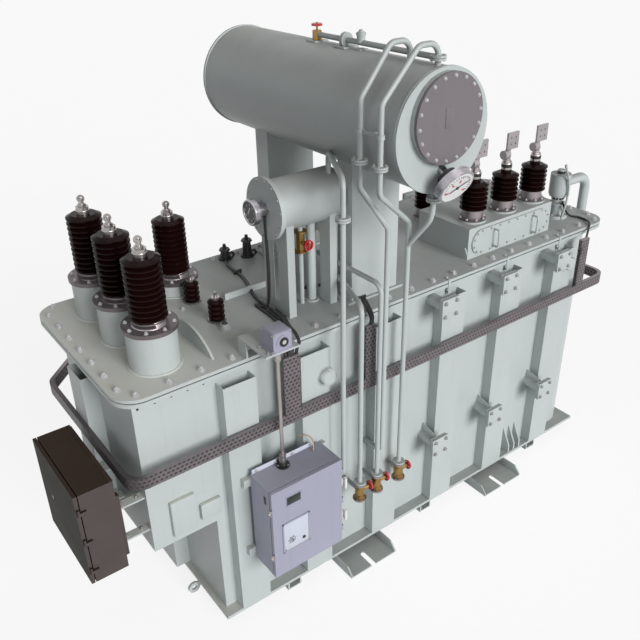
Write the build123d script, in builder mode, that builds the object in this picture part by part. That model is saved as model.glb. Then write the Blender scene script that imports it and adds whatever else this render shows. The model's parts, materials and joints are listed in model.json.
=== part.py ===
"""Oil-filled power transformer with on-load tap changer, in millimetres.

X runs along the tank from the high-voltage end to the low-voltage end, the long
front wall faces -Y, and Z = 0 is the ground under the foot channels. The origin
is under the middle of the lower tank.
"""

import os
from math import cos, radians, sin

from build123d import *

os.makedirs("parts", exist_ok=True)

# Running values
seat_gap = 0.3

# Base
channel_height = 80.0
channel_plate = 12.0
base_plate_thickness = 25.0
base_left_overhang = 40.0
base_right_overhang = 30.0
base_side_overhang = 85.0
cross_member_width = 116.0
cross_member_inset = 538.0
foot_place = 730.0
foot_width = 440.0
foot_reach = 275.0
foot_slot_width = 45.0
foot_slot_length = 150.0
foot_corner_radius = 60.0

# Tank
tank_length = 3736.0
tank_depth = 1380.0
tank_wall = 8.0
tank_wall_height = 1914.0
tank_corner_radius = 190.0
pocket_length = 443.0
pocket_height = 1094.0
pocket_chamfer = 310.0
inner_chamfer_share = 2 - 2**0.5

# Rim, gasket and cover
rim_thickness = 26.0
rim_width = 130.0
gasket_thickness = 8.0
gasket_inset = 6.0
cover_thickness = 22.0
cover_left_overhang = 70.0
cover_right_overhang = 156.0
cover_side_overhang = 26.0
cover_corner_radius = 160.0

# Box stiffeners
stiffener_width = 230.0
stiffener_depth = 90.0
stiffener_plate = 6.0
stiffener_top_gap = 46.0
first_stiffener_inset = 202.0
first_stiffener_pitch = 560.0
last_stiffener_inset = 478.0
stiffener_count = 6
pocket_stiffener_width = 210.0
pocket_stiffener_place = -58.0
pocket_stiffener_depth = 100.0
lower_stiffener_width = 300.0
lower_stiffener_depth = 110.0

# Radiator stubs and pads
stub_diameter = 89.0
stub_wall = 4.0
stub_reach = 190.0
stub_offset = 160.0
pad_size = 150.0
pad_thickness = 18.0
pad_bolt_spacing = 106.0
pad_bolt_diameter = 18.0
upper_stub_drop = 48.0
radiator_spacing = 1210.0
radiator_count = 3

# Jacking brackets and hauling eyes
jack_fin_thickness = 14.0
jack_fin_pitch = 70.0
jack_fin_height = 230.0
jack_fin_reach = 80.0
jack_fin_nose = 70.0
jack_inset = 788.0

# High-voltage turrets and bushings
hv_inset = 289.0
hv_pitch = 416.0
neutral_inset = 401.0
neutral_y = 395.0
turret_radius = 152.0
turret_wall = 6.0
turret_weld = 8.0
turret_height = 253.0
neutral_turret_height = 90.0
turret_flange_radius = 166.0
turret_flange_thickness = 26.0
clamp_ring_radius = 100.0
clamp_ring_height = 32.0
porcelain_foot_height = 36.0
shed_radius = 112.0
shed_core_radius = 80.0
shed_pitch = 35.0
shed_count = 11
shed_edge = 9.0
cap_radius = 40.0
cap_height = 45.0
stud_radius = 16.0
stud_height = 50.0
eye_radius = 24.0
eye_thickness = 14.0

# Small bushings
small_core_radius = 34.0
small_shed_radius = 54.0
small_shed_pitch = 36.0
small_shed_count = 4
small_flange_radius = 62.0
small_flange_height = 14.0
small_cap_radius = 30.0
small_cap_height = 14.0
small_stud_radius = 10.0
small_stud_height = 34.0
small_bushing_gap = 338.0
small_bushing_inset = 401.0
small_bushing_y = 150.0

# Cover fin and rib
fin_thickness = 16.0
fin_length = 560.0
fin_height = 120.0
fin_inset = 137.0
fin_y = -320.0
rib_thickness = 16.0
rib_length = 400.0
rib_height = 45.0
rib_inset = 585.0
rib_y = 26.0

# Low-voltage turret
lv_inset = 1385.0
lv_length = 947.0
lv_front_inset = 131.0
lv_depth = 533.0
lv_height = 246.0
lv_plate = 10.0
hatch_radius = 98.0
hatch_length = 880.0
hatch_thickness = 14.0
lv_bushing_inset = 167.0
lv_bushing_pitch = 340.0
lv_bushing_depth = 134.0
lv_neutral_offset = 385.0
lv_neutral_inset = 400.0
lv_flange_radius = 104.0
lv_flange_height = 24.0
lv_clamp_radius = 80.0
lv_clamp_height = 66.0
lv_core_radius = 64.0
lv_shed_radius = 102.0
lv_shed_pitch = 36.0
lv_shed_count = 6
lv_collar_radius = 37.0
lv_collar_height = 82.0
lv_stem_radius = 20.0
lv_stem_height = 88.0
flag_boss_radius = 34.0
flag_boss_reach = 52.0
flag_width = 120.0
flag_height = 128.0
flag_thickness = 16.0
flag_hole_spacing = 50.0
flag_hole_diameter = 14.0

# Main conservator
conservator_x = -429.0
conservator_overhang = 424.0
conservator_length = 2101.0
conservator_radius = 350.0
conservator_rise = 1250.0
conservator_wall = 5.0
end_plate_radius = 356.0
end_plate_thickness = 16.0
hatch_cover_radius = 255.0
hatch_cover_thickness = 20.0
hatch_cover_lift = 80.0
hatch_neck_reach = 30.0
hatch_neck_width = 40.0
leg_width = 400.0
leg_depth = 150.0
leg_plate = 8.0
front_leg_inset = 137.0
rear_leg_inset = 280.0
leg_foot_margin = 45.0
leg_foot_plate = 16.0
saddle_bite = 120.0
gauge_radius = 118.0
gauge_depth = 46.0
gauge_drop = 290.0
gauge_neck_radius = 28.0
gauge_reach = 133.0
gauge_tilt = 30.0

# Tap-changer conservator
oltc_offset = 726.0
oltc_length = 515.0
oltc_inset = 351.0
oltc_rise = 739.0
oltc_radius = 168.0
oltc_wall = 4.0
oltc_flange_radius = 200.0
oltc_flange_thickness = 14.0
oltc_cover_thickness = 14.0
support_inset = 69.0
support_pitch = 336.0
support_width = 274.0
support_flange = 56.0
support_plate = 6.0
support_slot_width = 50.0
support_slot_height = 420.0
oltc_gauge_radius = 82.0
oltc_gauge_depth = 28.0
oltc_gauge_neck_radius = 46.0
oltc_gauge_neck = 70.0

# Pipes
pipe_radius = 17.0
pipe_bend = 70.0
pipe_offset = 195.0
header_rise = 40.0
header_joint_inset = 875.0
vent_rise = 118.0
vent_arch_reach = 145.0
vent_arch_drop = 270.0
vent_side_offset = 399.0
vent_joint_drop = 147.0
vent_bend_drop = 300.0
vent_a_start_offset = 43.0
vent_a_inset = 249.0
vent_a_offset = 187.0
vent_a_bend_drop = 305.0
vent_a_bottom = 1000.0
vent_b_inset = 74.0
vent_b_offset = 15.0
vent_b_bend_drop = 305.0
vent_plug_inset = 730.0
vent_plug_radius = 26.0
vent_plug_height = 60.0
joint_flange_radius = 38.0
joint_flange_thickness = 12.0
drain_1_start_offset = 455.0
drain_1_start_lead = 61.0
drain_1_rise = 291.0
drain_1_offset = 190.0
drain_1_bottom = 950.0
drain_1_joint_rise = 54.0
drain_2_start_offset = 515.0
drain_2_start_lead = 89.0
drain_2_rise = 175.0
drain_2_middle_offset = 483.0
drain_2_middle_lead = 141.0
drain_2_offset = 339.0
drain_3_start_offset = 487.0
drain_3_start_lead = 189.0
drain_3_rise = 275.0
drain_3_offset = 497.0
oltc_valve_offset = 265.0
oltc_valve_drop = 284.0
breather_offset = 349.0
breather_radius = 30.0
breather_flange_radius = 50.0

# Valves and handwheels
valve_level = 820.0
valve_body_height = 150.0
valve_body_radius = 30.0
valve_flange_radius = 45.0
valve_flange_thickness = 12.0
valve_bonnet_radius = 16.0
valve_stem_radius = 7.0
valve_stem_reach = 92.0
handwheel_radius = 36.0
handwheel_rim = 9.0
handwheel_thickness = 14.0
top_valve_inset = 1174.0
top_valve_rise = 25.0
valve_top_stem = 48.0

# Gearbox, bracket and shaft
gearbox_size = 128.0
gearbox_offset = 1021.0
gearbox_reach = 182.0
gearbox_plate = 12.0
gearbox_plate_width = 240.0
bracket_height = 112.0
bracket_lap = 90.0
shaft_radius = 12.0

# Drive cabinet
drive_offset = 1238.0
drive_width = 550.0
drive_height = 715.0
drive_depth = 215.0
drive_door = 25.0
drive_top_drop = 780.0
drive_sheet = 3.0
drive_reach = 370.0
drive_rail_inset = 60.0
drive_rail_height = 60.0
drive_rail_overhang = 50.0
door_gap = 6.0
hinge_reach = 12.0
hinge_knuckle_radius = 8.0
hinge_pin_radius = 4.0
hinge_knuckle_height = 22.0
hinge_foot = 30.0
hinge_inset = 110.0
hinge_count = 3

# Terminal cabinet
terminal_reach = 416.0
terminal_overhang = 10.0
terminal_width = 235.0
terminal_length = 670.0
terminal_height = 672.0
terminal_top_drop = 470.0
terminal_door = 22.0
terminal_sheet = 3.0
terminal_bracket_low = 157.0
terminal_bracket_high = 412.0
terminal_bracket_front = 55.0
terminal_bracket_rear = 430.0
terminal_bracket_width = 60.0
terminal_bracket_thickness = 12.0

# Cable tray
tray_height = 80.0
tray_depth = 30.0
tray_chamfer = 340.0
tray_sheet = 2.0
tray_top_drop = 440.0
tray_corner = 110.0
tray_standoff = 20.0
tray_standoff_width = 60.0
tray_standoff_place = 300.0
tray_end_clearance = 60.0
left_drop_offset = 895.0
left_drop_width = 118.0
right_drop_offset = 257.0
right_drop_width = 87.0
tray_drop_gap = 12.0

# Relief device
relief_inset = 138.0
relief_front_inset = 290.0
relief_foot_radius = 50.0
relief_can_radius = 84.0
relief_foot_height = 206.0
relief_can_height = 170.0
relief_flange_radius = 92.0
relief_collar_radius = 76.0
relief_collar_height = 20.0
relief_cap_radius = 32.0
relief_cap_height = 34.0
relief_outlet_drop = 90.0
relief_outlet_reach = 222.0
relief_outlet_level = 200.0
relief_pipe_radius = 41.0
relief_bend = 110.0
relief_bracket_level = 400.0
relief_bracket_width = 60.0
relief_bracket_thickness = 12.0

# Levels
base_plate_bottom = channel_height
base_plate_top = base_plate_bottom + base_plate_thickness
rim_bottom = base_plate_top + tank_wall_height
rim_top = rim_bottom + rim_thickness
gasket_top = rim_top + gasket_thickness
cover_top = gasket_top + cover_thickness

# Plan lines
tank_left = -tank_length / 2
tank_right = tank_length / 2
tank_front = -tank_depth / 2
tank_back = tank_depth / 2
pocket_left = tank_left - pocket_length
cover_left = pocket_left - cover_left_overhang
cover_right = tank_right + cover_right_overhang
cover_half_depth = tank_depth / 2 + cover_side_overhang
cover_length = cover_right - cover_left
cover_middle = (cover_left + cover_right) / 2
# Places of what the tank and its cover carry
cross_member_place = tank_right - cross_member_inset
first_stiffener_place = tank_left + first_stiffener_inset
second_stiffener_place = first_stiffener_place + first_stiffener_pitch
last_stiffener_place = tank_right - last_stiffener_inset
stiffener_pitch = (last_stiffener_place - second_stiffener_place) / (stiffener_count - 2)
stiffener_places = [first_stiffener_place] + [
    second_stiffener_place + stiffener_pitch * i for i in range(stiffener_count - 1)
]
stiffener_front = tank_front - stiffener_depth
jack_place = tank_right - jack_inset
hv_place = pocket_left + hv_inset
neutral_x = tank_left + neutral_inset
small_bushing_x = tank_left + small_bushing_inset
fin_x = tank_left + fin_inset
rib_x = tank_left + rib_inset
lv_left = tank_right - lv_inset
lv_front = tank_front + lv_front_inset
lv_bushing_first = lv_left + lv_bushing_inset
lv_bushing_y = lv_front + lv_bushing_depth
lv_neutral_x = lv_left + lv_neutral_offset
lv_neutral_y = tank_back - lv_neutral_inset
relief_x = tank_right - relief_inset
relief_y = tank_front + relief_front_inset
relief_outlet_x = tank_right + relief_outlet_reach

# Places of the conservators
conservator_front = tank_front - conservator_overhang
conservator_axis = cover_top + conservator_rise
front_leg_face = tank_front + front_leg_inset
rear_leg_face = tank_back - rear_leg_inset
oltc_left = conservator_x - oltc_offset
oltc_y = tank_front + oltc_inset
oltc_axis = cover_top + oltc_rise
support_first = oltc_left + support_inset

# Places of the pipes
pipe_front = tank_front - pipe_offset
header_joint_y = conservator_front + header_joint_inset
vent_side_x = conservator_x - vent_side_offset
vent_joint_level = conservator_axis - vent_joint_drop
vent_a_start_x = conservator_x - vent_a_start_offset
vent_a_y = conservator_front + vent_a_inset
vent_a_x = conservator_x - vent_a_offset
vent_a_bend_level = conservator_axis - vent_a_bend_drop
vent_b_y = conservator_front + vent_b_inset
vent_b_x = conservator_x - vent_b_offset
vent_b_bend_level = conservator_axis - vent_b_bend_drop
vent_plug_y = conservator_front + vent_plug_inset
top_valve_y = conservator_front + top_valve_inset
drain_1_start_x = oltc_left + drain_1_start_offset
drain_1_start_y = oltc_y - drain_1_start_lead
drain_1_level = oltc_axis + drain_1_rise
drain_1_x = oltc_left + drain_1_offset
drain_1_joint_level = oltc_axis + drain_1_joint_rise
drain_2_start_x = oltc_left + drain_2_start_offset
drain_2_start_y = oltc_y + drain_2_start_lead
drain_2_level = cover_top + drain_2_rise
drain_2_middle_x = oltc_left + drain_2_middle_offset
drain_2_middle_y = oltc_y - drain_2_middle_lead
drain_2_x = oltc_left + drain_2_offset
drain_3_start_x = oltc_left + drain_3_start_offset
drain_3_start_y = oltc_y + drain_3_start_lead
drain_3_level = cover_top + drain_3_rise
drain_3_x = oltc_left + drain_3_offset
oltc_valve_x = oltc_left + oltc_valve_offset
oltc_valve_level = oltc_axis - oltc_valve_drop
breather_x = oltc_left + breather_offset

# Places of the drive, the cabinets and the tray drops
gearbox_x = conservator_x - gearbox_offset
gearbox_y = tank_front - gearbox_reach
drive_left = conservator_x - drive_offset
drive_front = tank_front - drive_reach
terminal_left = pocket_left - terminal_reach
terminal_front = tank_front - terminal_overhang
tray_drops = [
    (conservator_x - left_drop_offset, left_drop_width),
    (conservator_x - right_drop_offset, right_drop_width),
]


# Tank shell: walls of the lower tank and the upper left pocket
pocket_bottom = rim_bottom - pocket_height
with BuildPart() as tank_shell:
    with BuildSketch(Plane.XY.offset(base_plate_top)):
        Rectangle(tank_length, tank_depth)
    extrude(amount=tank_wall_height)
    right_edges = tank_shell.edges().filter_by(Axis.Z).group_by(Axis.X)[-1]
    fillet(right_edges, tank_corner_radius)
    with BuildSketch(Plane.XY.offset(pocket_bottom)):
        with Locations((tank_left - pocket_length / 2, 0)):
            outer = Rectangle(pocket_length, tank_depth)
        chamfer(outer.vertices().group_by(Axis.X)[0].sort_by(Axis.Y)[-1], pocket_chamfer)
    extrude(amount=pocket_height)
    with BuildSketch(Plane.XY.offset(base_plate_top)):
        inner = Rectangle(tank_length - 2 * tank_wall, tank_depth - 2 * tank_wall)
        fillet(inner.vertices().group_by(Axis.X)[-1], tank_corner_radius - tank_wall)
    extrude(amount=tank_wall_height, mode=Mode.SUBTRACT)
    with BuildSketch(Plane.XY.offset(pocket_bottom + tank_wall)):
        with Locations((tank_left + tank_wall - pocket_length / 2, 0)):
            inner = Rectangle(pocket_length, tank_depth - 2 * tank_wall)
        inner_chamfer = pocket_chamfer - inner_chamfer_share * tank_wall
        chamfer(inner.vertices().group_by(Axis.X)[0].sort_by(Axis.Y)[-1], inner_chamfer)
    extrude(amount=pocket_height - tank_wall, mode=Mode.SUBTRACT)
tank_shell.part.label = "tank_shell"
export_step(tank_shell.part, "parts/tank_shell.step")

# Base plate: the tank floor, wider than the walls
base_left = tank_left - base_left_overhang
base_right = tank_right + base_right_overhang
base_half_depth = tank_depth / 2 + base_side_overhang
with BuildPart() as base_plate:
    with BuildSketch(Plane.XY.offset(base_plate_bottom)):
        with Locations(((base_left + base_right) / 2, 0)):
            Rectangle(base_right - base_left, 2 * base_half_depth)
    extrude(amount=base_plate_thickness)
base_plate.part.label = "base_plate"
export_step(base_plate.part, "parts/base_plate.step")

# Cross members: upward-open channels under the base plate
with BuildPart() as cross_members:
    for place in (-cross_member_place, 0, cross_member_place):
        with BuildSketch(Plane.XZ.offset(-base_half_depth + channel_plate)):
            with Locations((place, channel_height / 2)):
                Rectangle(cross_member_width, channel_height)
            with Locations((place, channel_height / 2 + channel_plate)):
                Rectangle(cross_member_width - 2 * channel_plate, channel_height, mode=Mode.SUBTRACT)
        extrude(amount=2 * (base_half_depth - channel_plate))
cross_members.part.label = "cross_members"
export_step(cross_members.part, "parts/cross_members.step")

# Foot channels: wide upward-open channels that reach past the base plate, with open slots
foot_half_length = tank_depth / 2 + foot_reach
with BuildPart() as foot_channels:
    with BuildSketch(Plane.XZ.offset(-foot_half_length)):
        for place in (-foot_place, foot_place):
            with Locations((place, channel_height / 2)):
                Rectangle(foot_width, channel_height)
            with Locations((place, channel_height / 2 + channel_plate)):
                Rectangle(foot_width - 2 * channel_plate, channel_height, mode=Mode.SUBTRACT)
    extrude(amount=2 * foot_half_length)
    flange_ends = foot_channels.edges().filter_by(Axis.X).group_by(Axis.Z)[-1]
    chamfer(flange_ends, channel_height - 2 * channel_plate, foot_corner_radius)
    with BuildSketch(Plane.XY):
        for place in (-foot_place, foot_place):
            for end in (-1, 1):
                inner_end = foot_half_length - foot_slot_length
                with Locations((place, end * (inner_end + foot_slot_length / 2 + foot_slot_width / 4))):
                    Rectangle(foot_slot_width, foot_slot_length - foot_slot_width / 2)
                with Locations((place, end * (inner_end + foot_slot_width / 2))):
                    Circle(foot_slot_width / 2)
    extrude(amount=channel_plate, mode=Mode.SUBTRACT)
foot_channels.part.label = "foot_channels"
export_step(foot_channels.part, "parts/foot_channels.step")

# Rim flange, gasket and cover share one outline
with BuildPart() as tank_rim:
    with BuildSketch(Plane.XY.offset(rim_bottom)):
        with Locations((cover_middle, 0)):
            RectangleRounded(cover_length, 2 * cover_half_depth, cover_corner_radius)
            RectangleRounded(
                cover_length - 2 * rim_width,
                2 * (cover_half_depth - rim_width),
                cover_corner_radius - rim_width / 2,
                mode=Mode.SUBTRACT,
            )
    extrude(amount=rim_thickness)
tank_rim.part.label = "tank_rim"
export_step(tank_rim.part, "parts/tank_rim.step")

with BuildPart() as cover_gasket:
    with BuildSketch(Plane.XY.offset(rim_top)):
        with Locations((cover_middle, 0)):
            RectangleRounded(
                cover_length - 2 * gasket_inset,
                2 * (cover_half_depth - gasket_inset),
                cover_corner_radius - gasket_inset,
            )
            RectangleRounded(
                cover_length - 2 * rim_width,
                2 * (cover_half_depth - rim_width),
                cover_corner_radius - rim_width / 2,
                mode=Mode.SUBTRACT,
            )
    extrude(amount=gasket_thickness)
cover_gasket.part.label = "cover_gasket"
export_step(cover_gasket.part, "parts/cover_gasket.step")

with BuildPart() as top_cover:
    with BuildSketch(Plane.XY.offset(gasket_top)):
        with Locations((cover_middle, 0)):
            RectangleRounded(cover_length, 2 * cover_half_depth, cover_corner_radius)
    extrude(amount=cover_thickness)
top_cover.part.label = "top_cover"
export_step(top_cover.part, "parts/top_cover.step")

# Box stiffeners on the long walls: folded channels, open at the top
stiffener_height = tank_wall_height - stiffener_top_gap


def channel_sketch(width, depth, plate):
    """A channel outline, its back on the X axis at -depth and open towards +Y, legs ending at Y = 0."""
    with BuildSketch() as outline:
        with Locations((0, -depth / 2)):
            Rectangle(width, depth)
        with Locations((0, -depth / 2 + plate)):
            Rectangle(width - 2 * plate, depth, mode=Mode.SUBTRACT)
    return outline.sketch


for wall_name, side in (("front_stiffeners", 1), ("rear_stiffeners", -1)):
    with BuildPart() as wall_stiffeners:
        for place in stiffener_places:
            turned = Plane(
                origin=(place, side * tank_front, base_plate_top), x_dir=(side, 0, 0), z_dir=(0, 0, 1)
            )
            with BuildSketch(turned):
                add(channel_sketch(stiffener_width, stiffener_depth, stiffener_plate))
            extrude(amount=stiffener_height)
    wall_stiffeners.part.label = wall_name
    export_step(wall_stiffeners.part, f"parts/{wall_name}.step")

# End stiffeners: one on the pocket, one on the wall below it
with BuildPart() as end_stiffeners:
    on_pocket = Plane(origin=(pocket_left, pocket_stiffener_place, pocket_bottom), x_dir=(0, -1, 0), z_dir=(0, 0, 1))
    with BuildSketch(on_pocket):
        add(channel_sketch(pocket_stiffener_width, pocket_stiffener_depth, stiffener_plate))
    extrude(amount=pocket_height - stiffener_top_gap)
    under_pocket = Plane(origin=(tank_left, 0, base_plate_top), x_dir=(0, -1, 0), z_dir=(0, 0, 1))
    with BuildSketch(under_pocket):
        add(channel_sketch(lower_stiffener_width, lower_stiffener_depth, stiffener_plate))
    extrude(amount=pocket_bottom - base_plate_top)
end_stiffeners.part.label = "end_stiffeners"
export_step(end_stiffeners.part, "parts/end_stiffeners.step")

# Radiator stubs: short pipes with square four-bolt pads, left of the last stiffeners
upper_stub_level = rim_bottom - upper_stub_drop
lower_stub_level = upper_stub_level - radiator_spacing
stub_places = [place - stub_offset for place in stiffener_places[stiffener_count - radiator_count :]]
for wall_name, side in (("front_radiator_stubs", 1), ("rear_radiator_stubs", -1)):
    with BuildPart() as radiator_stubs:
        for place in stub_places:
            for level in (upper_stub_level, lower_stub_level):
                outward = Plane(
                    origin=(place, side * tank_front, level), x_dir=(side, 0, 0), z_dir=(0, -side, 0)
                )
                with BuildSketch(outward):
                    Circle(stub_diameter / 2)
                extrude(amount=stub_reach - pad_thickness)
                with BuildSketch(outward.offset(stub_reach - pad_thickness)):
                    Rectangle(pad_size, pad_size)
                    with GridLocations(pad_bolt_spacing, pad_bolt_spacing, 2, 2):
                        Circle(pad_bolt_diameter / 2, mode=Mode.SUBTRACT)
                extrude(amount=pad_thickness)
                with BuildSketch(outward):
                    Circle(stub_diameter / 2 - stub_wall)
                extrude(amount=stub_reach, mode=Mode.SUBTRACT)
    radiator_stubs.part.label = wall_name
    export_step(radiator_stubs.part, f"parts/{wall_name}.step")

# Jacking brackets: three fins under a shelf at each lower corner
with BuildPart() as jacking_brackets:
    for side in (1, -1):
        for place in (-jack_place, jack_place):
            for step in (-1, 0, 1):
                fin_middle = place + step * jack_fin_pitch
                fin_plane = Plane(
                    origin=(fin_middle + jack_fin_thickness / 2, side * tank_front, base_plate_top),
                    x_dir=(0, -side, 0),
                    z_dir=(-side, 0, 0),
                )
                with BuildSketch(fin_plane):
                    with BuildLine():
                        Polyline(
                            (0, 0),
                            (jack_fin_reach, 0),
                            (jack_fin_reach, jack_fin_nose),
                            (0, jack_fin_height),
                            close=True,
                        )
                    make_face()
                extrude(amount=side * jack_fin_thickness)
jacking_brackets.part.label = "jacking_brackets"
export_step(jacking_brackets.part, "parts/jacking_brackets.step")


def upright_profile(x, y, z):
    """A drawing plane through a vertical axis: along is radius, up is height."""
    return Plane(origin=(x, y, z), x_dir=(1, 0, 0), z_dir=(0, -1, 0))


def shed_points(core, edge, pitch, count, foot, lip, start=0):
    """Profile of a shedded insulator from the axis out, up, and back to the axis."""
    points = [(0, start), (core, start), (core, start + foot)]
    for i in range(count):
        low = start + foot + i * pitch
        points += [(edge, low + lip), (edge, low + 2 * lip), (core, low + pitch)]
    points.append((0, start + foot + count * pitch))
    return points


# High-voltage turrets: welded tubes on the cover, each with a bolted top flange
hv_places = [
    (hv_place, -hv_pitch, turret_height),
    (hv_place, 0, turret_height),
    (hv_place, hv_pitch, turret_height),
    (neutral_x, neutral_y, neutral_turret_height),
]
with BuildPart() as hv_turrets:
    for x, y, height in hv_places:
        with BuildSketch(Plane.XY.offset(cover_top)):
            with Locations((x, y)):
                Circle(turret_radius)
                Circle(turret_radius - turret_wall, mode=Mode.SUBTRACT)
        extrude(amount=height)
        with BuildSketch(Plane.XY.offset(cover_top)):
            with Locations((x, y)):
                Circle(turret_radius + turret_weld)
                Circle(turret_radius - turret_wall, mode=Mode.SUBTRACT)
        extrude(amount=turret_weld)
hv_turrets.part.label = "hv_turrets"
export_step(hv_turrets.part, "parts/hv_turrets.step")

# Porcelains: a foot held by the clamp ring, then the sheds
with BuildPart() as hv_porcelains:
    for x, y, height in hv_places:
        seat = cover_top + height + turret_flange_thickness
        with BuildSketch(upright_profile(x, y, seat)):
            with BuildLine():
                Polyline(
                    shed_points(
                        shed_core_radius,
                        shed_radius,
                        shed_pitch,
                        shed_count,
                        porcelain_foot_height,
                        shed_edge,
                    ),
                    close=True,
                )
            make_face()
        revolve(axis=Axis((x, y, seat), (0, 0, 1)))
hv_porcelains.part.label = "hv_porcelains"
export_step(hv_porcelains.part, "parts/hv_porcelains.step")

porcelain_height = porcelain_foot_height + shed_count * shed_pitch

# Small bushings beside the neutral
small_places = [(small_bushing_x, small_bushing_y), (small_bushing_x, small_bushing_y - small_bushing_gap)]
with BuildPart() as small_bushings:
    for x, y in small_places:
        with BuildSketch(upright_profile(x, y, cover_top)):
            with BuildLine():
                Polyline(
                    shed_points(
                        small_core_radius,
                        small_shed_radius,
                        small_shed_pitch,
                        small_shed_count,
                        small_flange_height,
                        shed_edge,
                    ),
                    close=True,
                )
            make_face()
        revolve(axis=Axis((x, y, cover_top), (0, 0, 1)))
small_bushings.part.label = "small_bushings"
export_step(small_bushings.part, "parts/small_bushings.step")

small_bushing_height = small_flange_height + small_shed_count * small_shed_pitch

# Lifting fin and flat rib, welded to the cover
with BuildPart() as cover_fins:
    fin_seat = (fin_x - fin_thickness / 2, fin_y, cover_top)
    with BuildSketch(Plane(origin=fin_seat, x_dir=(0, 1, 0), z_dir=(1, 0, 0))):
        with BuildLine():
            ThreePointArc((-fin_length / 2, 0), (0, fin_height), (fin_length / 2, 0))
            Line((fin_length / 2, 0), (-fin_length / 2, 0))
        make_face()
    extrude(amount=fin_thickness)
    with BuildSketch(Plane.XY.offset(cover_top)):
        with Locations((rib_x + rib_length / 2, rib_y)):
            Rectangle(rib_length, rib_thickness)
    extrude(amount=rib_height)
cover_fins.part.label = "cover_fins"
export_step(cover_fins.part, "parts/cover_fins.step")

# Low-voltage turret: a plate box, open below, with an obround hand hole in front
lv_top = cover_top + lv_height
lv_middle_x = lv_left + lv_length / 2
lv_middle_y = lv_front + lv_depth / 2
hatch_level = cover_top + lv_height / 2
with BuildPart() as lv_turret:
    with BuildSketch(Plane.XY.offset(cover_top)):
        with Locations((lv_middle_x, lv_middle_y)):
            Rectangle(lv_length, lv_depth)
    extrude(amount=lv_height)
    with BuildSketch(Plane.XY.offset(cover_top)):
        with Locations((lv_middle_x, lv_middle_y)):
            Rectangle(lv_length - 2 * lv_plate, lv_depth - 2 * lv_plate)
    extrude(amount=lv_height - lv_plate, mode=Mode.SUBTRACT)
    front_face = Plane(origin=(lv_middle_x, lv_front, hatch_level), x_dir=(1, 0, 0), z_dir=(0, -1, 0))
    with BuildSketch(front_face):
        SlotOverall(hatch_length - hatch_radius, hatch_radius)
    extrude(amount=-lv_plate, mode=Mode.SUBTRACT)
lv_turret.part.label = "lv_turret"
export_step(lv_turret.part, "parts/lv_turret.step")

with BuildPart() as lv_hatch_cover:
    with BuildSketch(front_face):
        SlotOverall(hatch_length, 2 * hatch_radius)
    extrude(amount=hatch_thickness)
lv_hatch_cover.part.label = "lv_hatch_cover"
export_step(lv_hatch_cover.part, "parts/lv_hatch_cover.step")

# Low-voltage bushings: flange, porcelain, clamp ring, flag terminal
lv_places = [(lv_bushing_first + i * lv_bushing_pitch, lv_bushing_y, lv_top) for i in range(3)]
lv_places.append((lv_neutral_x, lv_neutral_y, cover_top))
with BuildPart() as lv_porcelains:
    for x, y, turret_seat in lv_places:
        seat = turret_seat + lv_flange_height
        with BuildSketch(upright_profile(x, y, seat)):
            with BuildLine():
                Polyline(
                    shed_points(
                        lv_core_radius,
                        lv_shed_radius,
                        lv_shed_pitch,
                        lv_shed_count,
                        lv_clamp_height,
                        shed_edge,
                    ),
                    close=True,
                )
            make_face()
        revolve(axis=Axis((x, y, seat), (0, 0, 1)))
lv_porcelains.part.label = "lv_porcelains"
export_step(lv_porcelains.part, "parts/lv_porcelains.step")

lv_porcelain_height = lv_clamp_height + lv_shed_count * lv_shed_pitch
flag_level = lv_flange_height + lv_porcelain_height + lv_collar_height + lv_stem_height
with BuildPart() as lv_terminals:
    for x, y, turret_seat in lv_places:
        collar_seat = turret_seat + lv_flange_height + lv_porcelain_height
        with BuildSketch(Plane.XY.offset(collar_seat)):
            with Locations((x, y)):
                Circle(lv_collar_radius)
        extrude(amount=lv_collar_height)
        with BuildSketch(Plane.XY.offset(collar_seat + lv_collar_height)):
            with Locations((x, y)):
                Circle(lv_stem_radius)
        extrude(amount=lv_stem_height)
        boss_seat = (x, y, turret_seat + flag_level - flag_boss_radius)
        with BuildSketch(Plane(origin=boss_seat, x_dir=(0, 1, 0), z_dir=(-1, 0, 0))):
            Circle(flag_boss_radius)
        extrude(amount=flag_boss_reach)
        flag_x = x + flag_width / 2 - lv_stem_radius
        flag_plane = upright_profile(
            flag_x, y - flag_thickness / 2, turret_seat + flag_level + flag_height / 2
        )
        with BuildSketch(flag_plane):
            Rectangle(flag_width, flag_height)
            with GridLocations(flag_hole_spacing, flag_hole_spacing, 2, 2):
                Circle(flag_hole_diameter / 2, mode=Mode.SUBTRACT)
        extrude(amount=-flag_thickness)
lv_terminals.part.label = "lv_terminals"
export_step(lv_terminals.part, "parts/lv_terminals.step")

# Flanges under all the bushings, and the rings that clamp the porcelains to them
with BuildPart() as bushing_flanges:
    for x, y, height in hv_places:
        with BuildSketch(Plane.XY.offset(cover_top + height)):
            with Locations((x, y)):
                Circle(turret_flange_radius)
        extrude(amount=turret_flange_thickness)
    for x, y, seat in lv_places:
        with BuildSketch(Plane.XY.offset(seat)):
            with Locations((x, y)):
                Circle(lv_flange_radius)
        extrude(amount=lv_flange_height)
bushing_flanges.part.label = "bushing_flanges"
export_step(bushing_flanges.part, "parts/bushing_flanges.step")

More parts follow.
